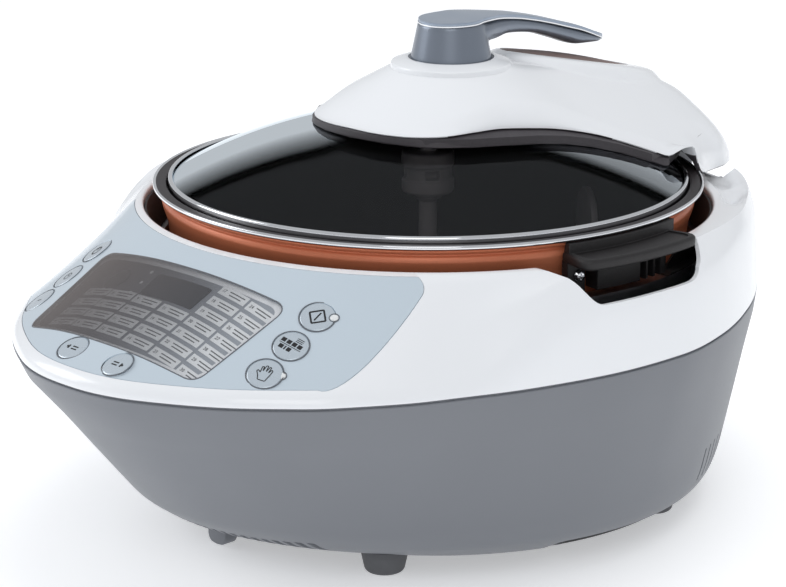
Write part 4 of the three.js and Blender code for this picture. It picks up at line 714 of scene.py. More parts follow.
def turned_about(obj, angle, point=(0, 0)):
    """Turns an object's mesh about a vertical axis."""
    at = Vector((point[0], point[1] + POT_SHIFT, 0)) / PER_METRE
    obj.data.transform(
        Matrix.Translation(at) @ Matrix.Rotation(angle, 4, "Z") @ Matrix.Translation(-at)
    )
    return obj


def aimed(points, place, normal):
    """Points about a key's own axes, put at a place of the deck. The X axis stays across."""
    normal = np.asarray(normal, float)
    across = np.array([normal[2], 0, -normal[0]])
    across /= np.linalg.norm(across)
    along_axis = np.cross(normal, across)
    return np.asarray(points, float) @ np.stack([across, along_axis, normal]) + place


def ribbon(points, width, closed=False, height=0.06):
    """Corners and faces of a flat stroke through points of the plane."""
    points = np.array(points, float)
    count = len(points)
    if closed:
        before, after = np.roll(points, 1, 0), np.roll(points, -1, 0)
    else:
        before = np.vstack([points[:1], points[:-1]])
        after = np.vstack([points[1:], points[-1:]])
    run = after - before
    run /= np.linalg.norm(run, axis=1)[:, None]
    side = np.stack([-run[:, 1], run[:, 0]], 1) * width / 2
    if closed:
        legs = points - before
        legs /= np.linalg.norm(legs, axis=1)[:, None]
        mitre = np.abs(np.sum(legs * run, 1))
        side /= np.maximum(mitre, 0.6)[:, None]
    ring = []
    for p, s in zip(points, side):
        low, high = [*(p - s)], [*(p + s)]
        ring.append([[*low, 0], [*high, 0], [*high, height], [*low, height]])
    return np.array(ring), closed


def circle(radius, steps=40, centre=(0, 0)):
    angles = [2 * math.pi * i / steps for i in range(steps)]
    return [(centre[0] + radius * math.cos(a), centre[1] + radius * math.sin(a)) for a in angles]


def on_circle(radius, turn):
    """Place on a circle round the pot's axis, at a turn from the nose."""
    return radius * math.sin(turn), -radius * math.cos(turn)


def upright(section, turn):
    """Corners of a section of radii and heights, stood up at a turn from the nose."""
    return np.array([(*on_circle(radius, turn), height) for radius, height in section])


def laid(form, name, outline, lift, thickness, pitch=6.0):
    """A thin plate that follows the deck, its top a little over or under it."""
    return draped(name, outline, lambda x, y: form.on_deck(x, y) + lift, thickness, pitch=pitch)


class Value:
    """A socket of a finish's nodes that Python's operators work on."""

    def __init__(self, finish, socket):
        self.finish = finish
        self.socket = socket

    def maths(self, operation, *values):
        return self.finish.node("ShaderNodeMath", {"operation": operation}, values)

    def __add__(self, other):
        return self.maths("ADD", self, other)

    def __sub__(self, other):
        return self.maths("SUBTRACT", self, other)

    def __rsub__(self, other):
        return self.maths("SUBTRACT", other, self)

    def __mul__(self, other):
        return self.maths("MULTIPLY", self, other)

    __radd__ = __add__
    __rmul__ = __mul__


class Finish:
    """A material with one Principled shader, and the nodes that feed it."""

    def __init__(self, name, base, roughness, metallic=0.0, coat=0.0):
        self.material = bpy.data.materials.new(name)
        self.material.use_nodes = True
        self.tree = self.material.node_tree
        self.shader = self.tree.nodes["Principled BSDF"]
        self.set("Base Color", (*base, 1))
        self.set("Roughness", roughness)
        self.set("Metallic", metallic)
        self.set("Coat Weight", coat)
        self.set("Coat Roughness", 0.06)
        self.base = (*base, 1)

    def set(self, name, value):
        socket = self.shader.inputs[name]
        if isinstance(value, Value):
            self.tree.links.new(value.socket, socket)
        else:
            socket.default_value = value

    def node(self, kind, settings=None, inputs=(), output=0):
        made = self.tree.nodes.new(kind)
        for name, value in (settings or {}).items():
            if name == "stops":
                for stop, (place, shade) in zip(made.color_ramp.elements, value):
                    stop.position = place
                    stop.color = (shade, shade, shade, 1)
            else:
                setattr(made, name, value)
        pairs = inputs.items() if isinstance(inputs, dict) else enumerate(inputs)
        for key, value in pairs:
            if isinstance(value, Value):
                self.tree.links.new(value.socket, made.inputs[key])
            else:
                made.inputs[key].default_value = value
        return Value(self, made.outputs[output])

    def place(self):
        return self.node("ShaderNodeTexCoord", output="Object")

    def noise(self, scale, detail=2.0, roughness=0.5):
        inputs = {"Vector": self.place(), "Scale": scale, "Detail": detail, "Roughness": roughness}
        return self.node("ShaderNodeTexNoise", None, inputs)

    def axis(self, name):
        return self.node("ShaderNodeSeparateXYZ", None, (self.place(),), name)

    def steps(self, value, low, high):
        """Ramp from 0 to 1 between two values."""
        return self.node("ShaderNodeValToRGB", {"stops": ((low, 0.0), (high, 1.0))}, (value,))

    def mix(self, share, first, second):
        settings = {"data_type": "RGBA"}
        return self.node("ShaderNodeMix", settings, {0: share, 6: first, 7: second}, 2)

    def bump(self, height, strength, distance):
        inputs = {"Height": height, "Strength": strength, "Distance": distance / PER_METRE}
        self.set("Normal", self.node("ShaderNodeBump", None, inputs))

    def shade(self, darker, lighter, scale):
        """Base colour that wanders a little between two strengths of itself."""
        low = tuple(c * darker for c in self.base[:3]) + (1,)
        high = tuple(min(c * lighter, 1) for c in self.base[:3]) + (1,)
        self.set("Base Color", self.mix(self.noise(scale), low, high))


# Finishes that noise breaks up. The base is a colour, or the name of one of the Colours.
# shade: darkest and lightest share of the base, and the noise's scale
# flakes: share of the base in the dark flakes, and their scale
# worn: least roughness, how much the noise adds to it, and the noise's scale, detail and roughness
# bump: strength, depth in millimetres, and the noise's scale, detail and roughness
PLAIN = {
    "white_gloss": dict(
        base="white", roughness=0.22, coat=0.35,
        shade=(0.985, 1.01, 9), worn=(0.19, 0.07, 28, 3), bump=(0.05, 0.05, 900),
    ),
    "grey_shell": dict(
        base="grey", roughness=0.42,
        shade=(0.95, 1.04, 14), worn=(0.34, 0.16, 2600, 3, 0.65), bump=(0.22, 0.12, 2600, 3, 0.65),
    ),
    # Painted shade under the body and behind the grille
    "underside_black": dict(
        base=(0.03, 0.03, 0.032), roughness=0.6, shade=(0.8, 1.2, 300), bump=(0.2, 0.1, 1500),
    ),
    "silver_film": dict(
        base="silver", roughness=0.32, metallic=0.2, coat=0.5,
        flakes=(0.9, 5200), worn=(0.26, 0.12, 34, 3), bump=(0.06, 0.04, 5200, 2, 0.7),
    ),
    "key_silver": dict(
        base="key", roughness=0.28, metallic=0.5, coat=0.5,
        flakes=(0.93, 5200), worn=(0.22, 0.1, 60, 3),
    ),
    # Painted shade for the gaps round the keys, the lights and the window
    "key_ring": dict(
        base=(0.16, 0.17, 0.19), roughness=0.35, metallic=0.4, worn=(0.3, 0.12, 400),
    ),
    "mark_ink": dict(base=(0.012, 0.012, 0.014), roughness=0.45, worn=(0.4, 0.15, 700)),
    "label_ink": dict(base=(0.12, 0.125, 0.13), roughness=0.5, shade=(0.9, 1.15, 500)),
    "label_white": dict(base=(0.86, 0.88, 0.9), roughness=0.5, shade=(0.97, 1.02, 120)),
    "display_black": dict(
        base=(0.018, 0.017, 0.02), roughness=0.2, coat=0.6, shade=(0.9, 1.2, 80),
    ),
    "light_lens": dict(base=(0.8, 0.82, 0.82), roughness=0.25, coat=0.4, shade=(0.92, 1.05, 300)),
    "pot_lining": dict(
        base="lining", roughness=0.45,
        shade=(0.8, 1.25, 22), worn=(0.4, 0.16, 3000, 3, 0.7), bump=(0.08, 0.05, 3000, 3, 0.7),
    ),
    "grained_black": dict(
        base="black", roughness=0.55,
        shade=(0.75, 1.3, 500), worn=(0.46, 0.2, 1500, 3, 0.6), bump=(0.5, 0.25, 1500, 3, 0.6),
    ),
    # Band under the arm, and painted shade inside the arm's cover
    "band_black": dict(
        base="band", roughness=0.5,
        shade=(0.8, 1.2, 600), worn=(0.4, 0.2, 1900, 3, 0.6), bump=(0.4, 0.2, 1900, 3, 0.6),
    ),
    "polished_steel": dict(
        base=(0.78, 0.79, 0.81), roughness=0.1, metallic=1.0,
        shade=(0.95, 1.02, 30), worn=(0.05, 0.07, 60, 4),
    ),
    "brushed_steel": dict(
        base=(0.5, 0.5, 0.52), roughness=0.3, metallic=1.0,
        worn=(0.22, 0.2, 260, 4), bump=(0.1, 0.05, 800),
    ),
    "dull_steel": dict(
        base=(0.14, 0.14, 0.15), roughness=0.45, metallic=0.9, worn=(0.38, 0.2, 300, 4),
    ),
    "soft_rubber": dict(
        base=(0.1, 0.103, 0.11), roughness=0.62, shade=(0.85, 1.15, 160), bump=(0.3, 0.12, 1800),
    ),
    "seal_rubber": dict(base=(0.022, 0.021, 0.022), roughness=0.45, worn=(0.38, 0.15, 500)),
    "lever_blue": dict(
        base="blue", roughness=0.3, metallic=0.6, coat=0.25,
        flakes=(0.86, 4200), worn=(0.27, 0.1, 60, 3),
    ),
    "lever_light": dict(
        base="blue_top", roughness=0.3, metallic=0.55, coat=0.25,
        flakes=(0.9, 4200), worn=(0.26, 0.1, 60, 3),
    ),
    "gear_nylon": dict(base=(0.62, 0.6, 0.54), roughness=0.45, shade=(0.93, 1.04, 140)),
    "smoky_nylon": dict(
        base=(0.26, 0.25, 0.255), roughness=0.34, coat=0.2,
        shade=(0.85, 1.2, 90), worn=(0.3, 0.12, 500),
    ),
}


def plain(name, base, roughness, metallic=0.0, coat=0.0, shade=None, flakes=None, worn=None, bump=None):
    if isinstance(base, str):
        base = getattr(bpy.context.scene.cooker_colours, base)
    made = Finish(name, base, roughness, metallic, coat)
    if shade:
        made.shade(*shade)
    if flakes:
        share, scale = flakes
        lower = tuple(c * share for c in base)
        made.set("Base Color", made.mix(made.noise(scale, 2, 0.7), (*lower, 1), made.base))
    if worn:
        least, gain, *noise = worn
        made.set("Roughness", least + gain * made.noise(*noise))
    if bump:
        strength, depth, *noise = bump
        made.bump(made.noise(*noise), strength, depth)
    return made


def dish_brown():
    made = plain("dish_brown", "brown", 0.55, shade=(0.85, 1.1, 16), worn=(0.5, 0.12, 240, 3))
    made.set("Specular IOR Level", 0.15)
    return made


def card_grey():
    made = plain("card_grey", (0.23, 0.24, 0.27), 0.5)
    # Painted reflection over the card's grey: darker at the left, lighter at the right
    across = made.steps(made.axis("X") * 7.2 + 0.5, 0.05, 0.95)
    made.set("Base Color", made.mix(across, (0.06, 0.05, 0.052, 1), (0.36, 0.39, 0.43, 1)))
    return made


def smoked_pane():
    made = plain("smoked_pane", (0.03, 0.027, 0.03), 0.07, coat=0.5, worn=(0.05, 0.05, 40))
    # Darker brown smoke at the left, and painted reflection at the right: lighter grey that lets more
    # through
    across = made.steps(made.axis("X") * 7.2 + 0.5, 0.08, 0.92)
    made.set("Base Color", made.mix(across, (0.11, 0.085, 0.078, 1), (0.13, 0.14, 0.16, 1)))
    made.set("Alpha", 0.6 - 0.5 * across)
    return made


def copper_paint():
    made = plain("copper_paint", "copper", 0.42, 0.25)
    speckle = made.noise(3600, 3, 0.8)
    low = tuple(c * 0.72 for c in made.base[:3])
    made.set("Base Color", made.mix(made.steps(speckle, 0.35, 0.65), (*low, 1), made.base))
    made.set("Roughness", 0.3 + 0.16 * speckle)
    made.bump(speckle, 0.12, 0.05)
    return made


def board_green():
    made = plain("board_green", (0.02, 0.12, 0.05), 0.4, coat=0.3)
    tracks = made.steps(made.noise(420, 0, 0), 0.47, 0.53)
    made.set("Base Color", made.mix(tracks, (0.02, 0.1, 0.04, 1), (0.05, 0.2, 0.09, 1)))
    return made


def dome_clear():
    """Clear glass that mirrors in two patches of painted reflection, most where it is seen at a low
    angle.
    """
    made = Finish("dome_clear", (0.8, 0.86, 0.9), 0.02)
    made.tree.nodes.remove(made.shader)
    shine = made.node("ShaderNodeBsdfGlossy", None, {"Color": (0.9, 0.96, 1, 1), "Roughness": 0.015})
    clear = made.node("ShaderNodeBsdfTransparent", None, {"Color": (0.8, 0.79, 0.79, 1)})
    edge = made.node("ShaderNodeFresnel", None, {"IOR": 1.45})
    across, back = made.axis("X"), made.axis("Y")
    # Patch of painted reflection on the right of the glass
    right = made.steps(back * 10 - across * 7.93 + 0.71, 0.45, 0.6)
    right = right * made.steps(across * 10, 0.4, 0.7)
    # Patch of painted reflection on the left of the glass
    run = back * 10 - across * 11.3 + 0.87
    left = made.steps(run, 0.45, 0.55) * 0.35 + made.steps(run, 0.55, 1.5)
    left = left * made.steps(across * -20 + 0.4, 0.4, 0.6)
    # The glass mirrors mostly in the two patches of painted reflection, and a little elsewhere
    share = edge * (right * 2.3 + left * 3.0 + 0.05)
    mixed = made.node("ShaderNodeMixShader", None, (share, clear, shine))
    surface = made.tree.nodes["Material Output"].inputs["Surface"]
    made.tree.links.new(mixed.socket, surface)
    return made


def floor_pale():
    made = plain("floor_pale", (0.86, 0.865, 0.87), 0.6, shade=(0.995, 1.0, 2))
    made.set("Emission Color", (0.97, 0.98, 1.0, 1))
    made.set("Emission Strength", 0.42)
    return made


MAKERS = (dish_brown, card_grey, smoked_pane, copper_paint, board_green, dome_clear, floor_pale)
SPECIAL = {maker.__name__: maker for maker in MAKERS}
FINISHED = {}


def finish(name):
    if name not in FINISHED:
        made = SPECIAL[name]() if name in SPECIAL else plain(name, **PLAIN[name])
        FINISHED[name] = made.material
    return FINISHED[name]


def dressed(obj, look, body="root", replaces=(), angle=32):
    """Gives a piece its finish, its smooth shading and its body, and hides the nodes that it stands for.
    """
    obj.data.materials.clear()
    obj.data.materials.append(finish(look))
    obj.data.shade_smooth()
    obj.data.set_sharp_from_angle(angle=math.radians(angle))
    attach(obj, body)
    if replaces:
        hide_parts(*replaces)
    return obj


def painted(look, *nodes):
    """A carried-over piece of the model gets a finish in its material slots."""
    for name in nodes:
        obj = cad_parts[name]
        for slot in obj.material_slots:
            slot.material = finish(look)


def mark(name, strokes, place, normal, look, body, lift):
    """Printed marks on a key or the deck, from strokes in the mark's own plane."""
    parts = []
    for ring, closed in strokes:
        flat = ring.reshape(-1, 3) + (0, 0, lift)
        points = aimed(flat, place, normal).reshape(ring.shape)
        parts.append(swept(name + "_stroke", points, closed, True))
    return dressed(joined(name, parts), look, body)


class MULTICOOKER_OT_upper_shell(Operator):
    """White upper shell with the deck's recess, the handle notches and the rear scoops"""

    bl_idname = "multicooker.upper_shell"
    bl_label = "Upper shell"

    def execute(self, context):
        form = Form(context.scene)
        mouth, top = form.opening_radius, form.top_height
        steps = 288
        rings, cores = [], []
        for k in range(steps):
            share = k / steps
            angle = 2 * math.pi * min(share, 1 - share)
            outer = form.shell_profile(angle)
            inner = outer - form.wall * form.wall_lean(angle)
            lip = [(mouth, top - 7), (mouth, top - 1.8)]
            lip += curve(lip[-1], (mouth, top), (mouth + 1.8, top), 5)
            back = [tuple(p) for p in inner[1:][::-1]]
            back += [(mouth + form.wall, top - 4), (mouth + form.wall, top - 7)]
            turn = 2 * math.pi * share
            rings.append(upright(lip + [tuple(p) for p in outer] + back, turn))
            middle = outer - 0.4 * form.wall * form.wall_lean(angle)
            inward = float(form.reach_at(angle)) - 9
            core = np.vstack([middle, [(inward, form.seam_height), (inward, form.top_height - 1)]])
            cores.append(upright(core, turn))
        shell = swept("upper_shell", rings)
        core = swept("core", cores)
        lips = []
        tools = []
        for turn in HANDLE_TURNS.values():
            lips.append(turned_about(notch_block("lip", 2.2, 148, 200), turn))
            tools.append(turned_about(notch_block("notch", 0, 130, 215), turn))
        lip = joined("lips", lips)
        keep_out = turned("keep_out", [(0, 100), (155.2, 100), (155.2, 200), (0, 200)])
        combined(lip, [core], "INTERSECT")
        combined(lip, [keep_out])
        combined(shell, [lip], "UNION")
        combined(shell, [joined("notches", tools)])
        recess = draped(
            "recess",
            form.panel_outline(0.35),
            lambda x, y: form.on_deck(x, y) + 16,
            17.25,
            pitch=9,
        )
        bay = block("bay", -77, 77, 159.5, 210, 156, 175)
        hole = draped("hole", form.window_outline(-2.5), lambda x, y: 190, 90, pitch=200)
        combined(shell, [recess, bay, hole])
        bevelled(shell, 0.55, 2, 50)
        dressed(shell, "white_gloss", "root", ["upper_housing"])
        return {"FINISHED"}


def notch_block(name, grow, inner, outer):
    """Prism across the side of the body in the shape of the handle notch, grown by a wall."""
    front, low, rear = -53 - grow, 152.3 - grow, 33 + grow
    outline = [(front - 22, 190), (front - 3.5, 168.4)]
    outline += curve((front - 3.5, 168.4), (front + 3, 168.2), (front + 6.5, 162), 6)
    outline += curve(outline[-1], (front + 11, 152.6 - grow), (front + 18, low), 8)
    outline += [(rear - 7, low)]
    outline += curve(outline[-1], (rear + 1, low), (rear + 4, low + 5), 6)
    outline += curve(outline[-1], (rear + 9, 160), (rear + 15, 168.4), 6)
    outline += [(rear + 18, 190)]
    return prism(name, outline, inner, outer, 0)


class MULTICOOKER_OT_lower_shell(Operator):
    """Grey lower shell with its side vents and the grille's slots"""

    bl_idname = "multicooker.lower_shell"
    bl_label = "Lower shell"

    def execute(self, context):
        form = Form(context.scene)
        steps = 240
        top = form.seam_height - 0.3
        rings = []
        for k in range(steps):
            share = k / steps
            angle = 2 * math.pi * min(share, 1 - share)
            reach = float(form.reach_at(angle))
            lead = [(reach - 1.2, top), (reach - 1.2, top - 0.9), (reach - 0.25, top - 1.1)]
            lead.append((reach, top - 1.6))
            outer = rounded(form.lower_wall(angle), 5, 5)
            inner = rounded(form.lower_wall(angle, form.wall), 5, 5)[::-1]
            ring = lead + outer + inner + [(reach - form.wall - 0.6, top)]
            rings.append(upright(ring, 2 * math.pi * share))
        shell = swept("lower_shell", rings)
        slots = []
        for i in range(VENTS):
            turn = VENT_TURN + i * VENT_PITCH
            for angle in (turn, 180 - turn):
                slot = block("slot", 140, 200, -0.8, 0.8, 25.5, 44.3)
                slots.append(turned_about(slot, math.radians(angle)))
        combs = []
        for k in range(-GRILLE_SLOTS, GRILLE_SLOTS + 1):
            x = GRILLE_PITCH * k
            left, right = x - GRILLE_WIDTH / 2, x + GRILLE_WIDTH / 2
            outer, inner = -math.sqrt(196**2 - x**2), -math.sqrt(157**2 - x**2)
            high = 25.2 + 0.35 * max(abs(k) - 8, 0)
            combs.append(block("comb", left, right, outer, inner, 18, high))
        socket = block("socket", -14.3, 14.3, 120, 210, 33.7, 56.3)
        combined(shell, [*slots, *combs, socket])
        dressed(shell, "grey_shell", "root", ["lower_housing"], 28)
        # Dark strip inside the wall behind the grille's slots: painted shade that makes the slots look
        # dark
        rings = []
        for angle in np.radians(np.linspace(-29, 29, 49)):
            radii, heights = np.array(form.lower_wall(angle, form.wall + 0.8)).T
            near, far = np.interp((18, 27), heights[::-1], radii[::-1])
            section = ((near, 18), (far, 27), (far - 1.2, 27), (near - 1.2, 18))
            rings.append(upright(section, angle))
        shade = swept("grille_shade", rings, False, True)
        dressed(shade, "underside_black")
        return {"FINISHED"}


class MULTICOOKER_OT_base(Operator):
    """Underside, feet, screws and the mains inlet"""

    bl_idname = "multicooker.base"
    bl_label = "Base and feet"

    def execute(self, context):
        self.plate(Form(context.scene))
        painted("brushed_steel", "base_screw_1", "base_screw_2", "base_screw_3", "base_screw_4")
        painted("grained_black", "power_inlet")
        painted("board_green", "power_board")
        for i, angle in enumerate(FOOT_TURNS):
            centre = on_circle(FOOT_CIRCLE, math.radians(angle))
            outline = [(0, 0), (9.2, 0), (10.5, 1.3), (12.4, 10), (12.6, 13.6), (0, 13.6)]
            foot = turned(f"rubber_foot_{i + 1}", rounded(outline, 1.1, 5), 64, centre)
            dressed(foot, "soft_rubber", "root", [f"foot_{i + 1}"])
        return {"FINISHED"}

    def plate(self, form):
        """Plate closing the bottom, its dark finish painted shade, with its slots, screw seats and front
        tab.
        """
        steps = 160
        rings = []
        for k in range(steps):
            turn = 2 * math.pi * k / steps
            lip = form.base_at(turn) - form.wall - 0.4
            outline = [(lip - 3, 11), (lip - 0.8, 11), (lip, 11.8), (lip, 15.2), (lip - 2.4, 15.2)]
            outline += [(lip - 2.4, 13.6), (lip - 3, 13.6)]
            rings.append(upright(outline, turn))
        points = np.vstack([*rings, [(0, 0, 11), (0, 0, 13.6)]])
        count = len(outline)
        faces = []
        low, high = steps * count, steps * count + 1
        for i in range(steps):
            k = (i + 1) % steps
            for j in range(count - 1):
                faces.append((i * count + j, i * count + j + 1, k * count + j + 1, k * count + j))
            faces.append((i * count, k * count, low))
            faces.append((k * count + count - 1, i * count + count - 1, high))
        plate = mesh_object("underside", points, faces)
        cuts = [
            block("cut", x - 1.6, x + 1.6, -124, -84, 0, 30) for x in np.arange(-38, 38.5, 7.6)
        ]
        for angle in SCREW_TURNS:
            centre = on_circle(SCREW_CIRCLE, math.radians(angle))
            cuts.append(turned("seat", [(0, 5), (3.6, 5), (3.6, 12.4), (0, 12.4)], 40, centre))
        combined(plate, [joined("cuts", cuts)])
        dressed(plate, "underside_black", "root", ["base_plate"], 28)
        outline = [(-18, 16.5), (-18, 5), (-16, 1.9), (-11, 1.2), (-6, 1.9), (-4, 5), (-4, 16.5)]
        tab = prism("front_tab", rounded(outline, 1.6, 4, True), -147, -138, 1)
        bevelled(tab, 0.8, 3, 60)
        dressed(tab, "grey_shell")


class MULTICOOKER_OT_deck(Operator):
    """Silver panel, smoked window, label card and display"""

    bl_idname = "multicooker.deck"
    bl_label = "Deck"

    def execute(self, context):
        form = Form(context.scene)
        holes = [form.window_outline(0.35)]
        for name, x, y, radius in KEYS:
            normal = form.deck_normal(x, y)
            place = np.array([x, y, float(form.on_deck(x, y))])
            rim = aimed([(*p, 0) for p in circle(radius + 0.35, 48)], place, normal)
            holes.append([(p[0], p[1]) for p in rim])
        panel = draped("silver_panel", form.panel_outline(), form.on_deck, 1.0, holes, 5)
        dressed(panel, "silver_film", "root", ["control_panel"], 25)

        pane = laid(form, "smoked_window", form.window_outline(), 0.5, 1.3)
        bevelled(pane, 0.45, 3, 50)
        dressed(pane, "smoked_pane", "root", ["display_window"], 25)
        # Dark line round the window: painted shadow in the gap between window and panel
        rim = np.array(form.window_outline(0.1))
        ring, closed = ribbon(rim, 0.5, True, 0.5)
        ring[..., 2] += form.on_deck(ring[..., 0], ring[..., 1]) - 0.35
        edge = swept("window_edge", ring, True, True)
        dressed(edge, "key_ring")

        card = laid(form, "printed_card", form.window_outline(-1.2), -1.5, 0.5)
        dressed(card, "card_grey", "root", ["label_card"])
        self.labels(form)
        screen = [(-14, -179.6), (26.2, -178.4), (26.2, -193.2), (-12.4, -194.2)]
        face = laid(form, "display_face", rounded(screen, 1, 3, True), -1.1, 0.35)
        dressed(face, "display_black")
        painted("display_black", "lcd_module")
        spot = laid(form, "display_spot", circle(7, 40, (-38.5, -187)), -1.15, 0.3)
        dressed(spot, "display_black")
        places = ((-20, -179.4), (-19, -187.1), (-18.7, -194.8))
        dots = [laid(form, "dot", circle(1, 20, place), -1.1, 0.3) for place in places]
        dressed(joined("display_dots", dots), "label_white")
        return {"FINISHED"}

    def labels(self, form):
        """Pale plates in rows, each with two lines and a number, from 30 at the right down to 1."""
        plates, lines = [], []
        number = 30
        for column, x in enumerate(LABEL_COLUMNS):
            rows = LABEL_ROWS if column < 2 else LABEL_ROWS[3:]
            for y in rows[::-1]:
                shift = 0.028 * (x - 39.5)
                half = 9.0 if column else 8.4
                corners = [(-half, -2.6), (half, -2.6), (half, 2.6), (-half, 2.6)]
                outline = [(x + 0.5 * px / half + px, y + py - shift) for px, py in corners]
                plates.append(laid(form, "plate", outline, -1.3, 0.15, 9))
                lines.append(self.number(form, str(number), x - half + 2.3, y - shift - 0.1))
                for run, (start, end) in enumerate(((-3.2, half - 1.4), (-2.4, half - 3.0))):
                    low = y - shift + (0.5 if run == 0 else -1.3)
                    left, right, high = x + start, x + end, low + 0.55
                    bar = [(left, low), (right, low), (right, high), (left, high)]
                    lines.append(laid(form, "bar", bar, -1.22, 0.08, 9))
                number -= 1
        dressed(joined("label_plates", plates), "label_white")
        dressed(joined("label_lines", lines), "label_ink")

    def number(self, form, text, x, y):
        """A small printed number that lies on the card."""
        words = bpy.data.curves.new("number", "FONT")
        words.body = text
        words.size = 2.6
        words.align_x = "CENTER"
        words.align_y = "CENTER"
        words.extrude = 0.04
        words.resolution_u = 2
        holder = linked("number", words)
        graph = bpy.context.evaluated_depsgraph_get()
        mesh = bpy.data.meshes.new_from_object(holder.evaluated_get(graph))
        bpy.data.objects.remove(holder)
        for v in mesh.vertices:
            px, py = v.co.x + x, v.co.y + y
            v.co = to_frame([(px, py, float(form.on_deck(px, py)) - 1.2 + v.co.z)])[0]
        return linked("number", mesh)


class MULTICOOKER_OT_keys(Operator):
    """Key caps with their printed marks, and the two lights"""

    bl_idname = "multicooker.keys"
    bl_label = "Keys and lights"

    def execute(self, context):
        form = Form(context.scene)
        boards = {
            "right": form.deck_normal(86, -180.5),
            "left": form.deck_normal(-86, -180.5),
            "front": form.deck_normal(0, -205),
        }
        marks = self.marks()
        for name, x, y, radius in KEYS:
            side = name.split("_")[1] if "_1" in name or "_2" in name or "_3" in name else "front"
            normal = boards[side]
            place = np.array([x, y, float(form.on_deck(x, y))])
            rings = []
            for r, h in rounded(
                [(0, 0.3), (radius - 0.5, 0.3), (radius, 0), (radius, -2.6), (0, -2.6)], 0.4, 4
            ):
                rings.append(aimed([(*p, h) for p in circle(max(r, 1e-4), 64)], place, normal))
            cap = swept(name + "_cap", rings, False, True)
            body = name + "_cap"
            dressed(cap, "key_silver", body, [name])
            turn = math.radians(12.5 if side == "right" else 0)
            marking = [self.turned_mark(stroke, turn) for stroke in marks[name]]
            mark(name + "_mark", marking, place, normal, "mark_ink", body, 0.3)
            # Dark ring round the cap: painted shade in the gap between key and panel
            line = [ribbon(circle(radius + 0.55, 72), 0.45, True, 0.3)]
            mark(name + "_line", line, place, normal, "key_ring", "root", -0.1)
        painted("board_green", "control_board", "key_board_left", "key_board_right")
        for name, x, y in LIGHTS:
            normal = boards["right"]
            place = np.array([x, y, float(form.on_deck(x, y))])
            rings = []
            for r, h in rounded([(0, 0.55), (1.5, 0.5), (2.1, 0.2), (2.1, -1.2), (0, -1.2)], 0.4, 3):
                rings.append(aimed([(*p, h) for p in circle(max(r, 1e-4), 40)], place, normal))
            dressed(swept(name + "_lens", rings, False, True), "light_lens", "root", [name])
            # Dark ring round the lens: painted shade in the gap round the light
            ring = [ribbon(circle(2.5, 40), 0.45, True, 0.25)]
            mark(name + "_ring", ring, place, normal, "key_ring", "root", 0.02)
        return {"FINISHED"}

    def turned_mark(self, stroke, turn):
        rings, closed = stroke
        x, y = rings[..., 0], rings[..., 1]
        made = rings.copy()
        made[..., 0] = x * math.cos(turn) - y * math.sin(turn)
        made[..., 1] = x * math.sin(turn) + y * math.cos(turn)
        return made, closed

    def marks(self):
        """Strokes of the mark on each key, about the key's middle."""
        diamond = rounded([(0, -5), (5, 0), (0, 5), (-5, 0)], 0.5, 3, True)
        hand = [
            (-1.5, -3.6), (-2.2, -1.8), (-3.6, 0.2), (-3.2, 0.9), (-2.0, 0.0), (-2.3, 2.9), (-1.6, 3.1),
            (-1.2, 0.9), (-0.9, 3.8), (-0.1, 3.9), (0.1, 1.0), (0.7, 3.6), (1.4, 3.5), (1.2, 0.8),
            (2.0, 2.5), (2.6, 2.2), (2.3, -0.6), (1.9, -2.2), (1.7, -3.6),
        ]
        hand = [(1.2 * x - 0.25 * y, 1.2 * y + 0.25 * x) for x, y in hand]

        def solid_arrow(x, turn):
            back, middle, tip = (x + turn * step for step in (-0.9, 0.2, 1.2))
            return [ribbon([(back, 0), (middle, 0)], 2.6), ribbon([(middle, 0), (tip, 0)], 1.2)]

        bars = [ribbon([(0.2, h), (4.2, h)], 0.4) for h in (5.6, 4.6, 3.6)]
        bars += [ribbon([(x, 1.5), (x + 2.5, 1.5)], 2.4) for x in (-6.6, -3.4, -0.2, 3)]
        bars += [ribbon([(-6.6, -0.5), (6, -0.5)], 0.35)]
        lowest = ((-5.4, 2.5), (-2.2, 0.8), (-0.7, 2.3))
        bars += [ribbon([(x, -2.5), (x + wide, -2.5)], 2.4) for x, wide in lowest]
        return {
            "key_right_1": [ribbon(diamond, 0.95, True), ribbon([(0, -2.9), (0, 2.9)], 0.8)],
            "key_right_2": bars,
            "key_right_3": [ribbon(rounded(hand, 0.5, 3, True), 0.5, True)],
            "key_left_1": [ribbon(circle(3, 32), 0.9, True), ribbon([(0, 0), (0, 3)], 0.7)],
            "key_left_2": [ribbon(circle(2.6, 32), 0.5, True), ribbon([(0, 1.5), (0, 0), (1.2, 0)], 0.4)],
            "key_left_3": [ribbon([(-1.6, 0), (1.6, 0)], 0.7)],
            "key_hour": solid_arrow(-3.2, -1) + [ribbon([(-0.6, h), (3.4, h)], 0.8) for h in (0.9, -0.9)],
            "key_minute": solid_arrow(3.2, 1) + [ribbon([(-3.4, h), (0.6, h)], 0.8) for h in (0.9, -0.9)],
        }


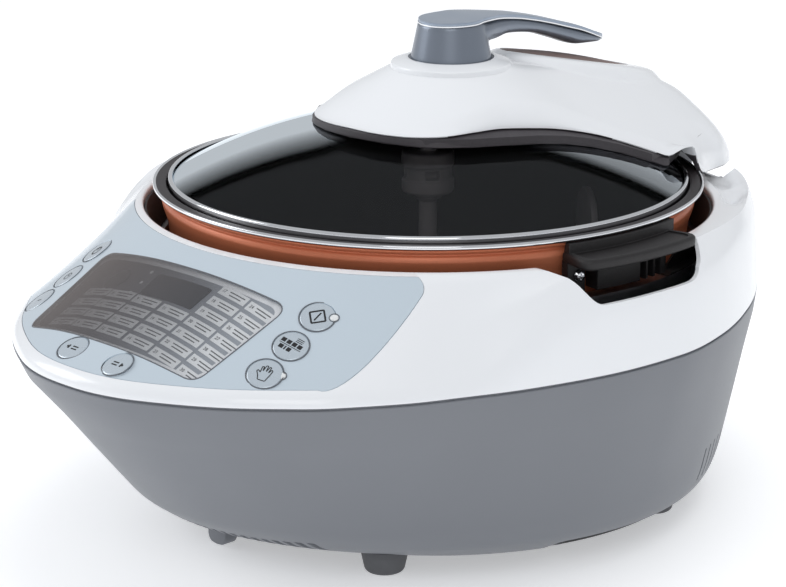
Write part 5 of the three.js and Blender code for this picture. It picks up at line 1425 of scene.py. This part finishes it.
class MULTICOOKER_OT_pot(Operator):
    """Copper-coloured pot with its bright flange and non-stick lining"""

    bl_idname = "multicooker.pot"
    bl_label = "Pot"

    def execute(self, context):
        form = Form(context.scene)
        top, mouth = form.flange_top, form.mouth_radius
        floor = form.bottom

        def wall(z):
            return blend(form.bottom_radius, form.top_radius, (z - floor) / (top - floor))

        outside = [
            (0, floor), (116, floor), (126, floor + 1.6), (wall(floor + 14), floor + 14),
            (wall(160) + 0.6, 160), (144.6, 167), (145.4, 170.4), (144.6, 172.6), (143.6, 173.5),
            (143.8, 174.3), (146.4, 175.2), (147.0, 176.4), (146.2, 177.2),
        ]
        flange = [
            (146.4, 177.4), (149.2, 177.4), (150, 178.3), (149.8, 179.6), (149.1, 180.0),
            (148.4, 179.6), (147.9, 179.2), (143.4, 179.2), (142.6, 178.8), (142.5, 175.0),
        ]
        inside = [
            (142.0, 174.2), (139.2, 174.2), (138.8, 173.4), (wall(160) - 2.4, 160),
            (wall(floor + 16) - 2.4, floor + 16), (122.6, floor + 5), (115, floor + 2.4),
            (0, floor + 2.4),
        ]
        outside, flange, inside = rounded(outside, 3.2, 4), rounded(flange, 0.8, 4), rounded(inside, 5, 5)
        pot = turned("cooking_pot", outside + flange + inside, 192)
        dressed(pot, "copper_paint", "root", ["pot"], 38)
        pot.data.materials.append(finish("polished_steel"))
        pot.data.materials.append(finish("pot_lining"))
        points = np.array([p.center for p in pot.data.polygons]) * PER_METRE
        radii = np.hypot(points[:, 0], points[:, 1] - POT_SHIFT)
        for face, z, radius in zip(pot.data.polygons, points[:, 2], radii):
            normal = face.normal
            if z > 177.25 and radius > 148.2:
                face.material_index = 1
            elif z > 178.5 or radius < wall(z) - 1.2 and z > floor + 0.5:
                face.material_index = 2
            elif radius < 143 and (normal.z > 0.5 or z > 175.2):
                face.material_index = 2
        outline = [(154.7, 165.5), (153.3, 165.5), (147, 148.8), (154.7, 148.8)]
        outline = rounded([*outline, (154.7, 150.2), (149, 150.2)], 0.5, 3, True)
        surround = turned("pot_lining_ring", outline, 192, closed=True)
        cuts = [turned_about(notch_block("cut", 4, 130, 200), a) for a in HANDLE_TURNS.values()]
        combined(surround, [joined("cuts", cuts)])
        dressed(surround, "grained_black", "root", ["pot_surround"])
        painted("brushed_steel", "heating_well", "heat_shield", "temperature_sensor")
        painted("dull_steel", "bottom_heater")
        return {"FINISHED"}


class MULTICOOKER_OT_pot_handles(Operator):
    """Black grained grips on both sides of the pot, with their screws"""

    bl_idname = "multicooker.pot_handles"
    bl_label = "Pot handles"

    def execute(self, context):
        for side, turn in HANDLE_TURNS.items():
            grip = self.grip("grip_" + side)
            turned_about(grip, turn)
            dressed(grip, "grained_black", "root", ["pot_handle_" + side], 30)
            screw = self.screw("grip_screw_" + side)
            turned_about(screw, turn)
            dressed(screw, "polished_steel", "root", ["handle_screw_" + side], 25)
        return {"FINISHED"}

    def sector(self, name, inner, outer, half_angle, corner, low, high, edge=0.0):
        def at(radius, angle):
            return radius * math.cos(angle), radius * math.sin(angle)

        trim = corner / outer
        outline = [at(inner, -half_angle), at(outer - corner, -half_angle)]
        outline += curve(outline[-1], at(outer, -half_angle), at(outer, trim - half_angle), 7)
        outline += [at(outer, a) for a in np.linspace(trim - half_angle, half_angle - trim, 20)[1:]]
        outline += curve(outline[-1], at(outer, half_angle), at(outer - corner, half_angle), 7)
        outline += [at(inner, a) for a in np.linspace(half_angle, -half_angle, 20)[:-1]]
        made = prism(name, outline, low, high)
        return bevelled(made, edge, 4, 50) if edge else made

    def grip(self, name):
        shelf = self.sector(name, 145.4, 169, math.radians(14.3), 8, 166.4, 172.2, 1.9)
        dent = self.sector("dent", 152.4, 166.2, math.radians(13), 6, 171.4, 175)
        combined(shelf, [dent])
        turned_about(shelf, math.radians(1.2))
        upper = self.sector("upper", 145.4, 151.2, math.radians(14.8), 0.6, 167, 177.0, 0.7)
        turned_about(upper, math.radians(2.2))
        box = self.sector("box", 143.8, 155.5, math.radians(9.4), 0.8, 151.9, 167.6, 0.6)
        turned_about(box, math.radians(2.2))
        lug = self.sector("lug", 143.8, 151.2, math.radians(2), 0.6, 150.8, 167.6, 0.6)
        turned_about(lug, math.radians(-10.9))
        for angle in (4.4, 6.6, 8.8):
            pocket = self.sector("pocket", 149.5, 160, math.radians(0.85), 0.3, 148, 163)
            combined(box, [turned_about(pocket, math.radians(angle))])
        for part in (upper, box, lug):
            combined(shelf, [part], "UNION")
        pot = [(0, 50), (143.6, 50), (145.6, 170), (147.4, 176.9), (160, 176.9), (160, 190), (0, 190)]
        combined(shelf, [turned("pot_room", pot, 96)])
        return shelf

    def screw(self, name):
        outline = [(0, 2.1), (1.9, 1.9), (3.2, 0.8), (3.2, 0.0), (1.6, 0.0), (1.6, -2.4), (0, -2.4)]
        outline = rounded(outline, 0.4, 3)
        made = turned(name, outline, 40)
        slots = [block("slot", -2, 2, -0.4, 0.4, 0.9, 3), block("slot", -0.4, 0.4, -2, 2, 0.9, 3)]
        for slot in slots:
            combined(made, [slot])
        at = Matrix.Translation(Vector((0, POT_SHIFT, 0)) / PER_METRE)
        out = Matrix.Translation(Vector((151.4, 0, 160)) / PER_METRE)
        spin = Matrix.Rotation(math.radians(-10.4), 4, "Z")
        made.data.transform(at @ spin @ out @ Matrix.Rotation(QUARTER, 4, "Y") @ at.inverted())
        return made


class MULTICOOKER_OT_lid(Operator):
    """Bright rim, seal and dome glass"""

    bl_idname = "multicooker.lid"
    bl_label = "Lid"

    def execute(self, context):
        form = Form(context.scene)
        edge = float(form.dome(form.glass_radius))
        ledge = edge - form.glass_thickness - 0.3
        rim = form.rim_radius
        outline = [
            (133, ledge - 0.7), (rim - 0.4, ledge - 0.7), (rim, ledge), (rim, form.rim_top - 1.0),
            (rim - 0.5, form.rim_top - 0.25), (rim - 1.3, form.rim_top), (rim - 2.1, form.rim_top - 0.2),
            (rim - 2.6, form.rim_top - 0.9), (140.2, form.rim_top - 2.0), (140.2, ledge), (133, ledge),
        ]
        ring = turned("bright_rim", rounded(outline, 0.7, 4, True), 192, closed=True)
        dressed(ring, "polished_steel", "lid", ["lid_rim"])
        low = form.flange_top - 5.5
        seal = [(137.3, low), (141.2, low), (141.5, low + 1.2), (rim - 0.3, ledge - 1), (133, ledge - 1)]
        gasket = turned("lid_gasket", rounded(seal, 0.5, 3, True), 144, closed=True)
        dressed(gasket, "seal_rubber", "lid", ["lid_seal"])
        radii = np.linspace(17, form.glass_radius, 20)
        top = [(r, float(form.dome(r))) for r in radii]
        under = [(r, z - form.glass_thickness) for r, z in top[::-1]]
        glass = turned("dome", top + under, 160, closed=True)
        dressed(glass, "dome_clear", "lid", ["dome_glass"], 50)
        painted("grained_black", "glass_clamp")
        return {"FINISHED"}


class MULTICOOKER_OT_arm(Operator):
    """White arm over the lid, its dark band and the brown dish"""

    bl_idname = "multicooker.arm"
    bl_label = "Arm"

    def execute(self, context):
        form = Form(context.scene)
        rings = []
        bent = 0.8 + 0.2 * np.sin(np.linspace(0, QUARTER, 15)[1:])
        outer_shares = np.concatenate([np.linspace(0, 0.8, 30), bent])
        for share, spin in self.around(288):
            reach = float(form.arm_reach(share, COVER_EDGE))

            def at(radius):
                radius = np.asarray(radius, float)
                return radius * spin[0], form.arm_centre + radius * spin[1]

            edge_x, edge_y = at(reach)
            low = float(form.arm_edge(share, edge_x, edge_y))
            radii = outer_shares * reach
            x, y = at(radii)
            high = np.maximum(form.arm_top(x, y), low + 0.6)
            turn_in = blend(13.0, 17.0, float(ramp(0.66, 0.78, share))) / reach
            drop = np.clip((outer_shares - 1 + turn_in) / turn_in, 0, 1)
            deep = np.minimum(14, np.maximum(high - low - 0.6, 0))
            high = high - deep * (1 - np.sqrt(1 - drop**2))
            top = np.column_stack([x, y, high])
            inner_shares = np.linspace(1, 0, 24)
            radii = inner_shares * (reach - 2.4)
            x, y = at(radii)
            under = np.maximum(form.arm_top(x, y), low + 0.6) - 2.4
            under = np.maximum(under, low - 1.4 * (inner_shares < 1))
            under[0] = low
            bottom = np.column_stack([x, y, under])
            lip = [(edge_x, edge_y, low + 0.5), (*at(reach - 0.5), low)]
            rings.append(np.vstack([top, lip, bottom]))
        cover = swept("arm_shell", rings, True, False)
        high = form.collar_height
        skirt = [(0, high - 6.2), (33.2, high - 6.2), (32.9, high - 3.2), (32.5, high - 2.5)]
        skirt += [(24.6, high), (0, high)]
        centre = (0, form.lever_centre)
        combined(cover, [turned("skirt", rounded(skirt, 0.6, 4), 128, centre)], "UNION")
        seat = turned("seat", [(0, 240.4), (23.4, 240.4), (23.8, 260), (0, 260)], 96, centre)
        bore = turned("bore", [(0, 200), (6.3, 200), (6.3, 245), (0, 245)], 40, centre)
        oval = self.oval(DISH_WIDE, DISH_LONG)
        dish = draped("dish", oval, lambda x, y: form.hump_plane(y) + 20, 23.0, pitch=12)
        arch = block("arch", -52, 52, 176, 200, 156, 186.6)
        combined(cover, [seat, bore, dish, arch])
        bevelled(cover, 0.5, 3, 52)
        dressed(cover, "white_gloss", "lid", ["arm_cover"])
        # Faces inside the hollow cover, turned inwards or down, take the dark finish as painted shade
        cover.data.materials.append(finish("band_black"))
        for face in cover.data.polygons:
            x, y, z = face.center * PER_METRE
            y -= POT_SHIFT
            away = y - form.arm_centre
            inward = -(face.normal.x * x + face.normal.y * away) / math.hypot(x, away)
            if max(-face.normal.z, inward - 0.15) > 0.1 and z < float(form.arm_top(x, y)) - 1.9:
                face.material_index = 1

        wide, long = DISH_WIDE - 0.5, DISH_LONG - 0.5

        def crown(x, y):
            inward = min(math.hypot(x / wide, (y - DISH_MIDDLE) / long), 1.0)
            return form.hump_plane(y) - 0.5 + 2.4 * (1 - inward**2)

        inset = draped("arm_dish", self.oval(wide, long), crown, 0.4, pitch=3)
        dressed(inset, "dish_brown", "lid", ["arm_inset"])

        rings = []
        for share, spin in self.around(288):
            tucked = ramp(0.575, 0.655, share)
            reach = float(form.arm_reach(share) * blend(1, 0.87, tucked) + 1.6 * (1 - tucked))
            lean = min(float(form.arm_reach(share, COVER_EDGE)) - reach, 0) * (1 - float(tucked))
            profile = [(-9, 0.2), (-0.4, 0), (0.4, 0.5), (0.35 + lean, 4.2), (lean - 0.7, 4.9)]
            profile = rounded([*profile, (-9, 4.8)], 0.6, 3, True)
            seat = float(form.arm_floor(reach * spin[0], form.arm_centre + reach * spin[1]))
            rings.append(
                [
                    ((reach + out) * spin[0], form.arm_centre + (reach + out) * spin[1], seat + up)
                    for out, up in profile
                ]
            )
        band = swept("arm_band", rings)
        dressed(band, "band_black", "lid")
        painted("band_black", "arm_base")
        return {"FINISHED"}

    def around(self, steps):
        """Shares of a half turn and directions, all the way round the arm's middle."""
        for k in range(steps):
            whole = k / steps
            share = 2 * min(whole, 1 - whole)
            side = -1 if whole > 0.5 else 1
            yield share, np.array([side * math.sin(share * math.pi), -math.cos(share * math.pi)])

    def oval(self, wide, long):
        turns = np.linspace(0, 2 * math.pi, 97)[:-1]
        return [(wide * math.sin(a), DISH_MIDDLE - long * math.cos(a)) for a in turns]


class MULTICOOKER_OT_lever(Operator):
    """Blue-grey lever with its cone, bright line and top plate"""

    bl_idname = "multicooker.lever"
    bl_label = "Lever"

    def execute(self, context):
        form = Form(context.scene)
        bottom = form.collar_height + 0.8
        height = form.lever_top - bottom
        table = np.array(LEVER)
        stations = np.linspace(0, 1, 56)

        def column(k):
            return np.interp(stations, table[:, 0], table[:, k]) * 0.3 + 0.7 * along(
                np.stack([table[:, 0], table[:, k]], 1), stations
            )

        half = LEVER_HUB * column(1)
        high = bottom + height * column(2)
        low = bottom + height * column(3)
        reach = form.lever_reach * stations
        rings = []
        for y, w, h, l in zip(reach, half, high, low):
            ring = []
            for a in np.linspace(0, 2 * math.pi, 41)[:-1]:
                c, s = math.cos(a), math.sin(a)
                x = w * math.copysign(abs(c) ** 0.7, c)
                z = (h - 2.3 + l) / 2 + (h - 2.3 - l) / 2 * math.copysign(abs(s) ** 0.7, s)
                ring.append((x, form.lever_centre + y, z))
            rings.append(ring)
        grip = swept("lever_body", rings, False, True)
        hub_top = bottom + height * 0.94 - 2.3
        hub = turned(
            "hub",
            rounded([(0, 241.2), (22.2, 241.2), (22, 243.6), (18.1, hub_top), (0, hub_top)], 0.5, 3),
            96,
            (0, form.lever_centre),
        )
        combined(grip, [hub], "UNION")
        remeshed(grip, 0.75, 6)
        dressed(grip, "lever_blue", "lever", ["handle_body"], 60)

        def top_height(x, y):
            along_share = np.clip((y - form.lever_centre) / form.lever_reach, 0, 1)
            crown = np.interp(along_share, stations, high)
            wide = np.maximum(np.interp(along_share, stations, half), 3)
            front = np.minimum((y - form.lever_centre) / LEVER_HUB, 0)
            bow = ramp(0.05, 0.35, along_share)
            return crown - 0.9 * (x / wide) ** 2 * bow - 0.5 * front * front

        def outline(grow):
            ys = np.concatenate([[0], reach[reach > 1.5]])
            right = []
            for y in ys:
                wide = float(np.interp(y, reach, half))
                disc = math.sqrt(max(LEVER_HUB**2 - y * y, 0))
                right.append((max(disc, wide * 0.97) + grow, form.lever_centre + y))
            round_end = LEVER_HUB + grow
            arc = [
                (round_end * math.cos(a), form.lever_centre - round_end * math.sin(a))
                for a in np.linspace(QUARTER, 0, 19)[:-1]
            ]
            half_line = arc + right
            tip = (0, form.lever_centre + form.lever_reach + grow)
            return half_line + [tip] + [(-x, y) for x, y in half_line[::-1][:-1]]

        plate = draped("lever_plate", outline(-0.1), top_height, 1.5, pitch=4)
        bevelled(plate, 0.5, 3, 45)
        dressed(plate, "lever_light", "lever", ["handle_cap"], 30)
        line = draped("lever_line", outline(0.25), lambda x, y: top_height(x, y) - 1.5, 0.7, pitch=6)
        dressed(line, "polished_steel", "lever", [], 30)
        painted("gear_nylon", "handle_spindle")
        return {"FINISHED"}


class MULTICOOKER_OT_drive(Operator):
    """Motor, gears, shaft, coupling and paddle"""

    bl_idname = "multicooker.drive"
    bl_label = "Drive"

    def execute(self, context):
        form = Form(context.scene)
        painted("gear_nylon", "output_gear", "idler_gear", "motor_gear")
        painted("brushed_steel", "idler_axle")
        painted("dull_steel", "mixing_motor")
        low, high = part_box("drive_shaft")
        top = float(form.dome(24)) - 20.6
        foot, head = low.z * PER_METRE, high.z * PER_METRE
        outline = [
            (0, foot), (5, foot), (5, top - 28), (7.6, top - 26), (7.6, top - 24), (13.4, top - 23),
            (14.4, top - 21.5), (14.4, top - 16), (13.2, top - 15), (13.2, top - 8.6),
            (14.4, top - 7.6), (14.4, top - 1), (13.4, top), (5, top), (5, head), (0, head),
        ]
        shaft = turned("mixing_shaft", rounded(outline, 0.7, 4), 96)
        for i in range(4):
            slot = block("slot", 6.2, 20, -4, 4, top - 14.4, top - 9.2)
            turned_about(slot, math.radians(56 + 90 * i))
            combined(shaft, [bevelled(slot, 0.8, 3)])
        dressed(shaft, "smoky_nylon", "mixer", ["drive_shaft"])
        self.paddle()
        return {"FINISHED"}

    def paddle(self):
        base, thick = 61.4, 5.0
        tall = base + 26
        hub = rounded([(0, base), (11, base), (8.6, tall), (0, tall)], 1.4, 5)
        hub = turned("mixing_blade", hub, 80)
        blades = []
        for turn, reach in ((math.radians(56), 95), (math.radians(236), 104)):
            rings = []
            for share in np.linspace(0, 1, 24):
                out = blend(7, reach, share)
                lean = 12 * share * share
                high = base + 26 * float(along(((0, 1), (0.35, 0.75), (0.7, 0.55), (1, 0.5)), share))
                near, far = lean - thick / 2, lean + thick / 2
                section = [(near, base), (far, base), (far - 0.8, high), (near + 0.8, high)]
                rings.append([(out, y, z) for y, z in rounded(section, 1.2, 3, True)])
            blades.append(turned_about(swept("blade", rings, False, True), turn))
        arc = [(18 * math.cos(a), 148 + 18 * math.sin(a)) for a in np.linspace(math.pi, 0, 25)[1:]]
        arch = [(-18, base), (-18, 148), *arc, (18, base)]
        plate = prism("plate", [(y + 12, z) for y, z in arch], 91, 95, 0)
        bevelled(plate, 1.2, 4, 50)
        turned_about(plate, math.radians(56))
        for part in (*blades, plate):
            combined(hub, [part], "UNION")
        bore = turned("bore", [(0, 66.4), (5.2, 66.4), (5.2, 120), (0, 120)], 40)
        combined(hub, [bore])
        dressed(hub, "smoky_nylon", "mixer", ["mixing_paddle"])


class MULTICOOKER_OT_hinge(Operator):
    """Hinge bracket, pin and spring behind the pot"""

    bl_idname = "multicooker.hinge"
    bl_label = "Hinge"

    def execute(self, context):
        painted("grey_shell", "hinge_bracket")
        painted("brushed_steel", "hinge_pin")
        painted("dull_steel", "hinge_spring")
        return {"FINISHED"}


class MULTICOOKER_OT_stage(Operator):
    """Pale floor, soft lights and the camera"""

    bl_idname = "multicooker.stage"
    bl_label = "Stage"

    def execute(self, context):
        scene = context.scene
        scene.view_settings.view_transform = "Standard"
        scene.view_settings.look = "None"
        half = 9.0
        mesh = bpy.data.meshes.new("floor")
        corners = [(-half, -half, 0), (half, -half, 0), (half, half, 0), (-half, half, 0)]
        mesh.from_pydata(corners, [], [(0, 1, 2, 3)])
        mesh.materials.append(finish("floor_pale"))
        linked("floor", mesh)

        world = bpy.data.worlds.new("studio")
        world.use_nodes = True
        sky = world.node_tree.nodes["Background"].inputs
        sky["Color"].default_value = (0.95, 0.97, 1.0, 1)
        sky["Strength"].default_value = 0.56
        scene.world = world
        lamps = (
            ("over", (0.1, 0.5, 1.9), 1.5, 12.0, (1, 1, 1)),
            ("front_left", (-1.5, -1.0, 1.0), 1.1, 11.0, (0.97, 0.98, 1)),
            ("front_right", (1.4, -1.5, 1.5), 1.2, 7.0, (1, 0.99, 0.98)),
        )
        for name, place, width, power, tint in lamps:
            light = bpy.data.lights.new(name, "AREA")
            light.shape = "SQUARE"
            light.size = width
            light.energy = power
            light.color = tint
            lamp = linked(name, light)
            lamp.location = place
            aim = Vector((0, 0, 0.12)) - Vector(place)
            lamp.rotation_euler = aim.to_track_quat("-Z", "Y").to_euler()
            lamp.visible_glossy = name != "over"

        lens = bpy.data.cameras.new("camera")
        lens.lens = 128.37
        lens.sensor_width = 36
        lens.clip_end = 50
        camera = linked("camera", lens)
        turn, rise, away = math.radians(45.635), math.radians(16.095), 1.524842
        level = math.cos(rise)
        back = Vector((math.sin(turn) * level, -math.cos(turn) * level, math.sin(rise)))
        target = Vector((3.233, -29.842 + POT_SHIFT, 119.203)) / PER_METRE
        camera.location = target + back * away
        camera.rotation_euler = (-back).to_track_quat("-Z", "Y").to_euler()
        scene.camera = camera
        return {"FINISHED"}


OPERATORS = (
    MULTICOOKER_OT_stage,
    MULTICOOKER_OT_upper_shell,
    MULTICOOKER_OT_lower_shell,
    MULTICOOKER_OT_base,
    MULTICOOKER_OT_deck,
    MULTICOOKER_OT_keys,
    MULTICOOKER_OT_pot,
    MULTICOOKER_OT_pot_handles,
    MULTICOOKER_OT_lid,
    MULTICOOKER_OT_arm,
    MULTICOOKER_OT_lever,
    MULTICOOKER_OT_drive,
    MULTICOOKER_OT_hinge,
)


class MULTICOOKER_PT_pieces(Panel):
    """Lists the pieces of the multicooker"""

    bl_label = "Multicooker"
    bl_space_type = "VIEW_3D"
    bl_region_type = "UI"
    bl_category = "Multicooker"

    def draw(self, context):
        for operator in OPERATORS:
            self.layout.operator(operator.bl_idname)


CLASSES = (*GROUPS.values(), Colours, *OPERATORS, MULTICOOKER_PT_pieces)


def register():
    for cls in CLASSES:
        bpy.utils.register_class(cls)
    for name, group in GROUPS.items():
        setattr(bpy.types.Scene, name, PointerProperty(type=group))
    bpy.types.Scene.cooker_colours = PointerProperty(type=Colours)


def unregister():
    del bpy.types.Scene.cooker_colours
    for name in GROUPS:
        delattr(bpy.types.Scene, name)
    for cls in reversed(CLASSES):
        bpy.utils.unregister_class(cls)


def main():
    register()
    for operator in OPERATORS:
        group, name = operator.bl_idname.split(".")
        getattr(getattr(bpy.ops, group), name)()


if __name__ == "__main__":
    main()
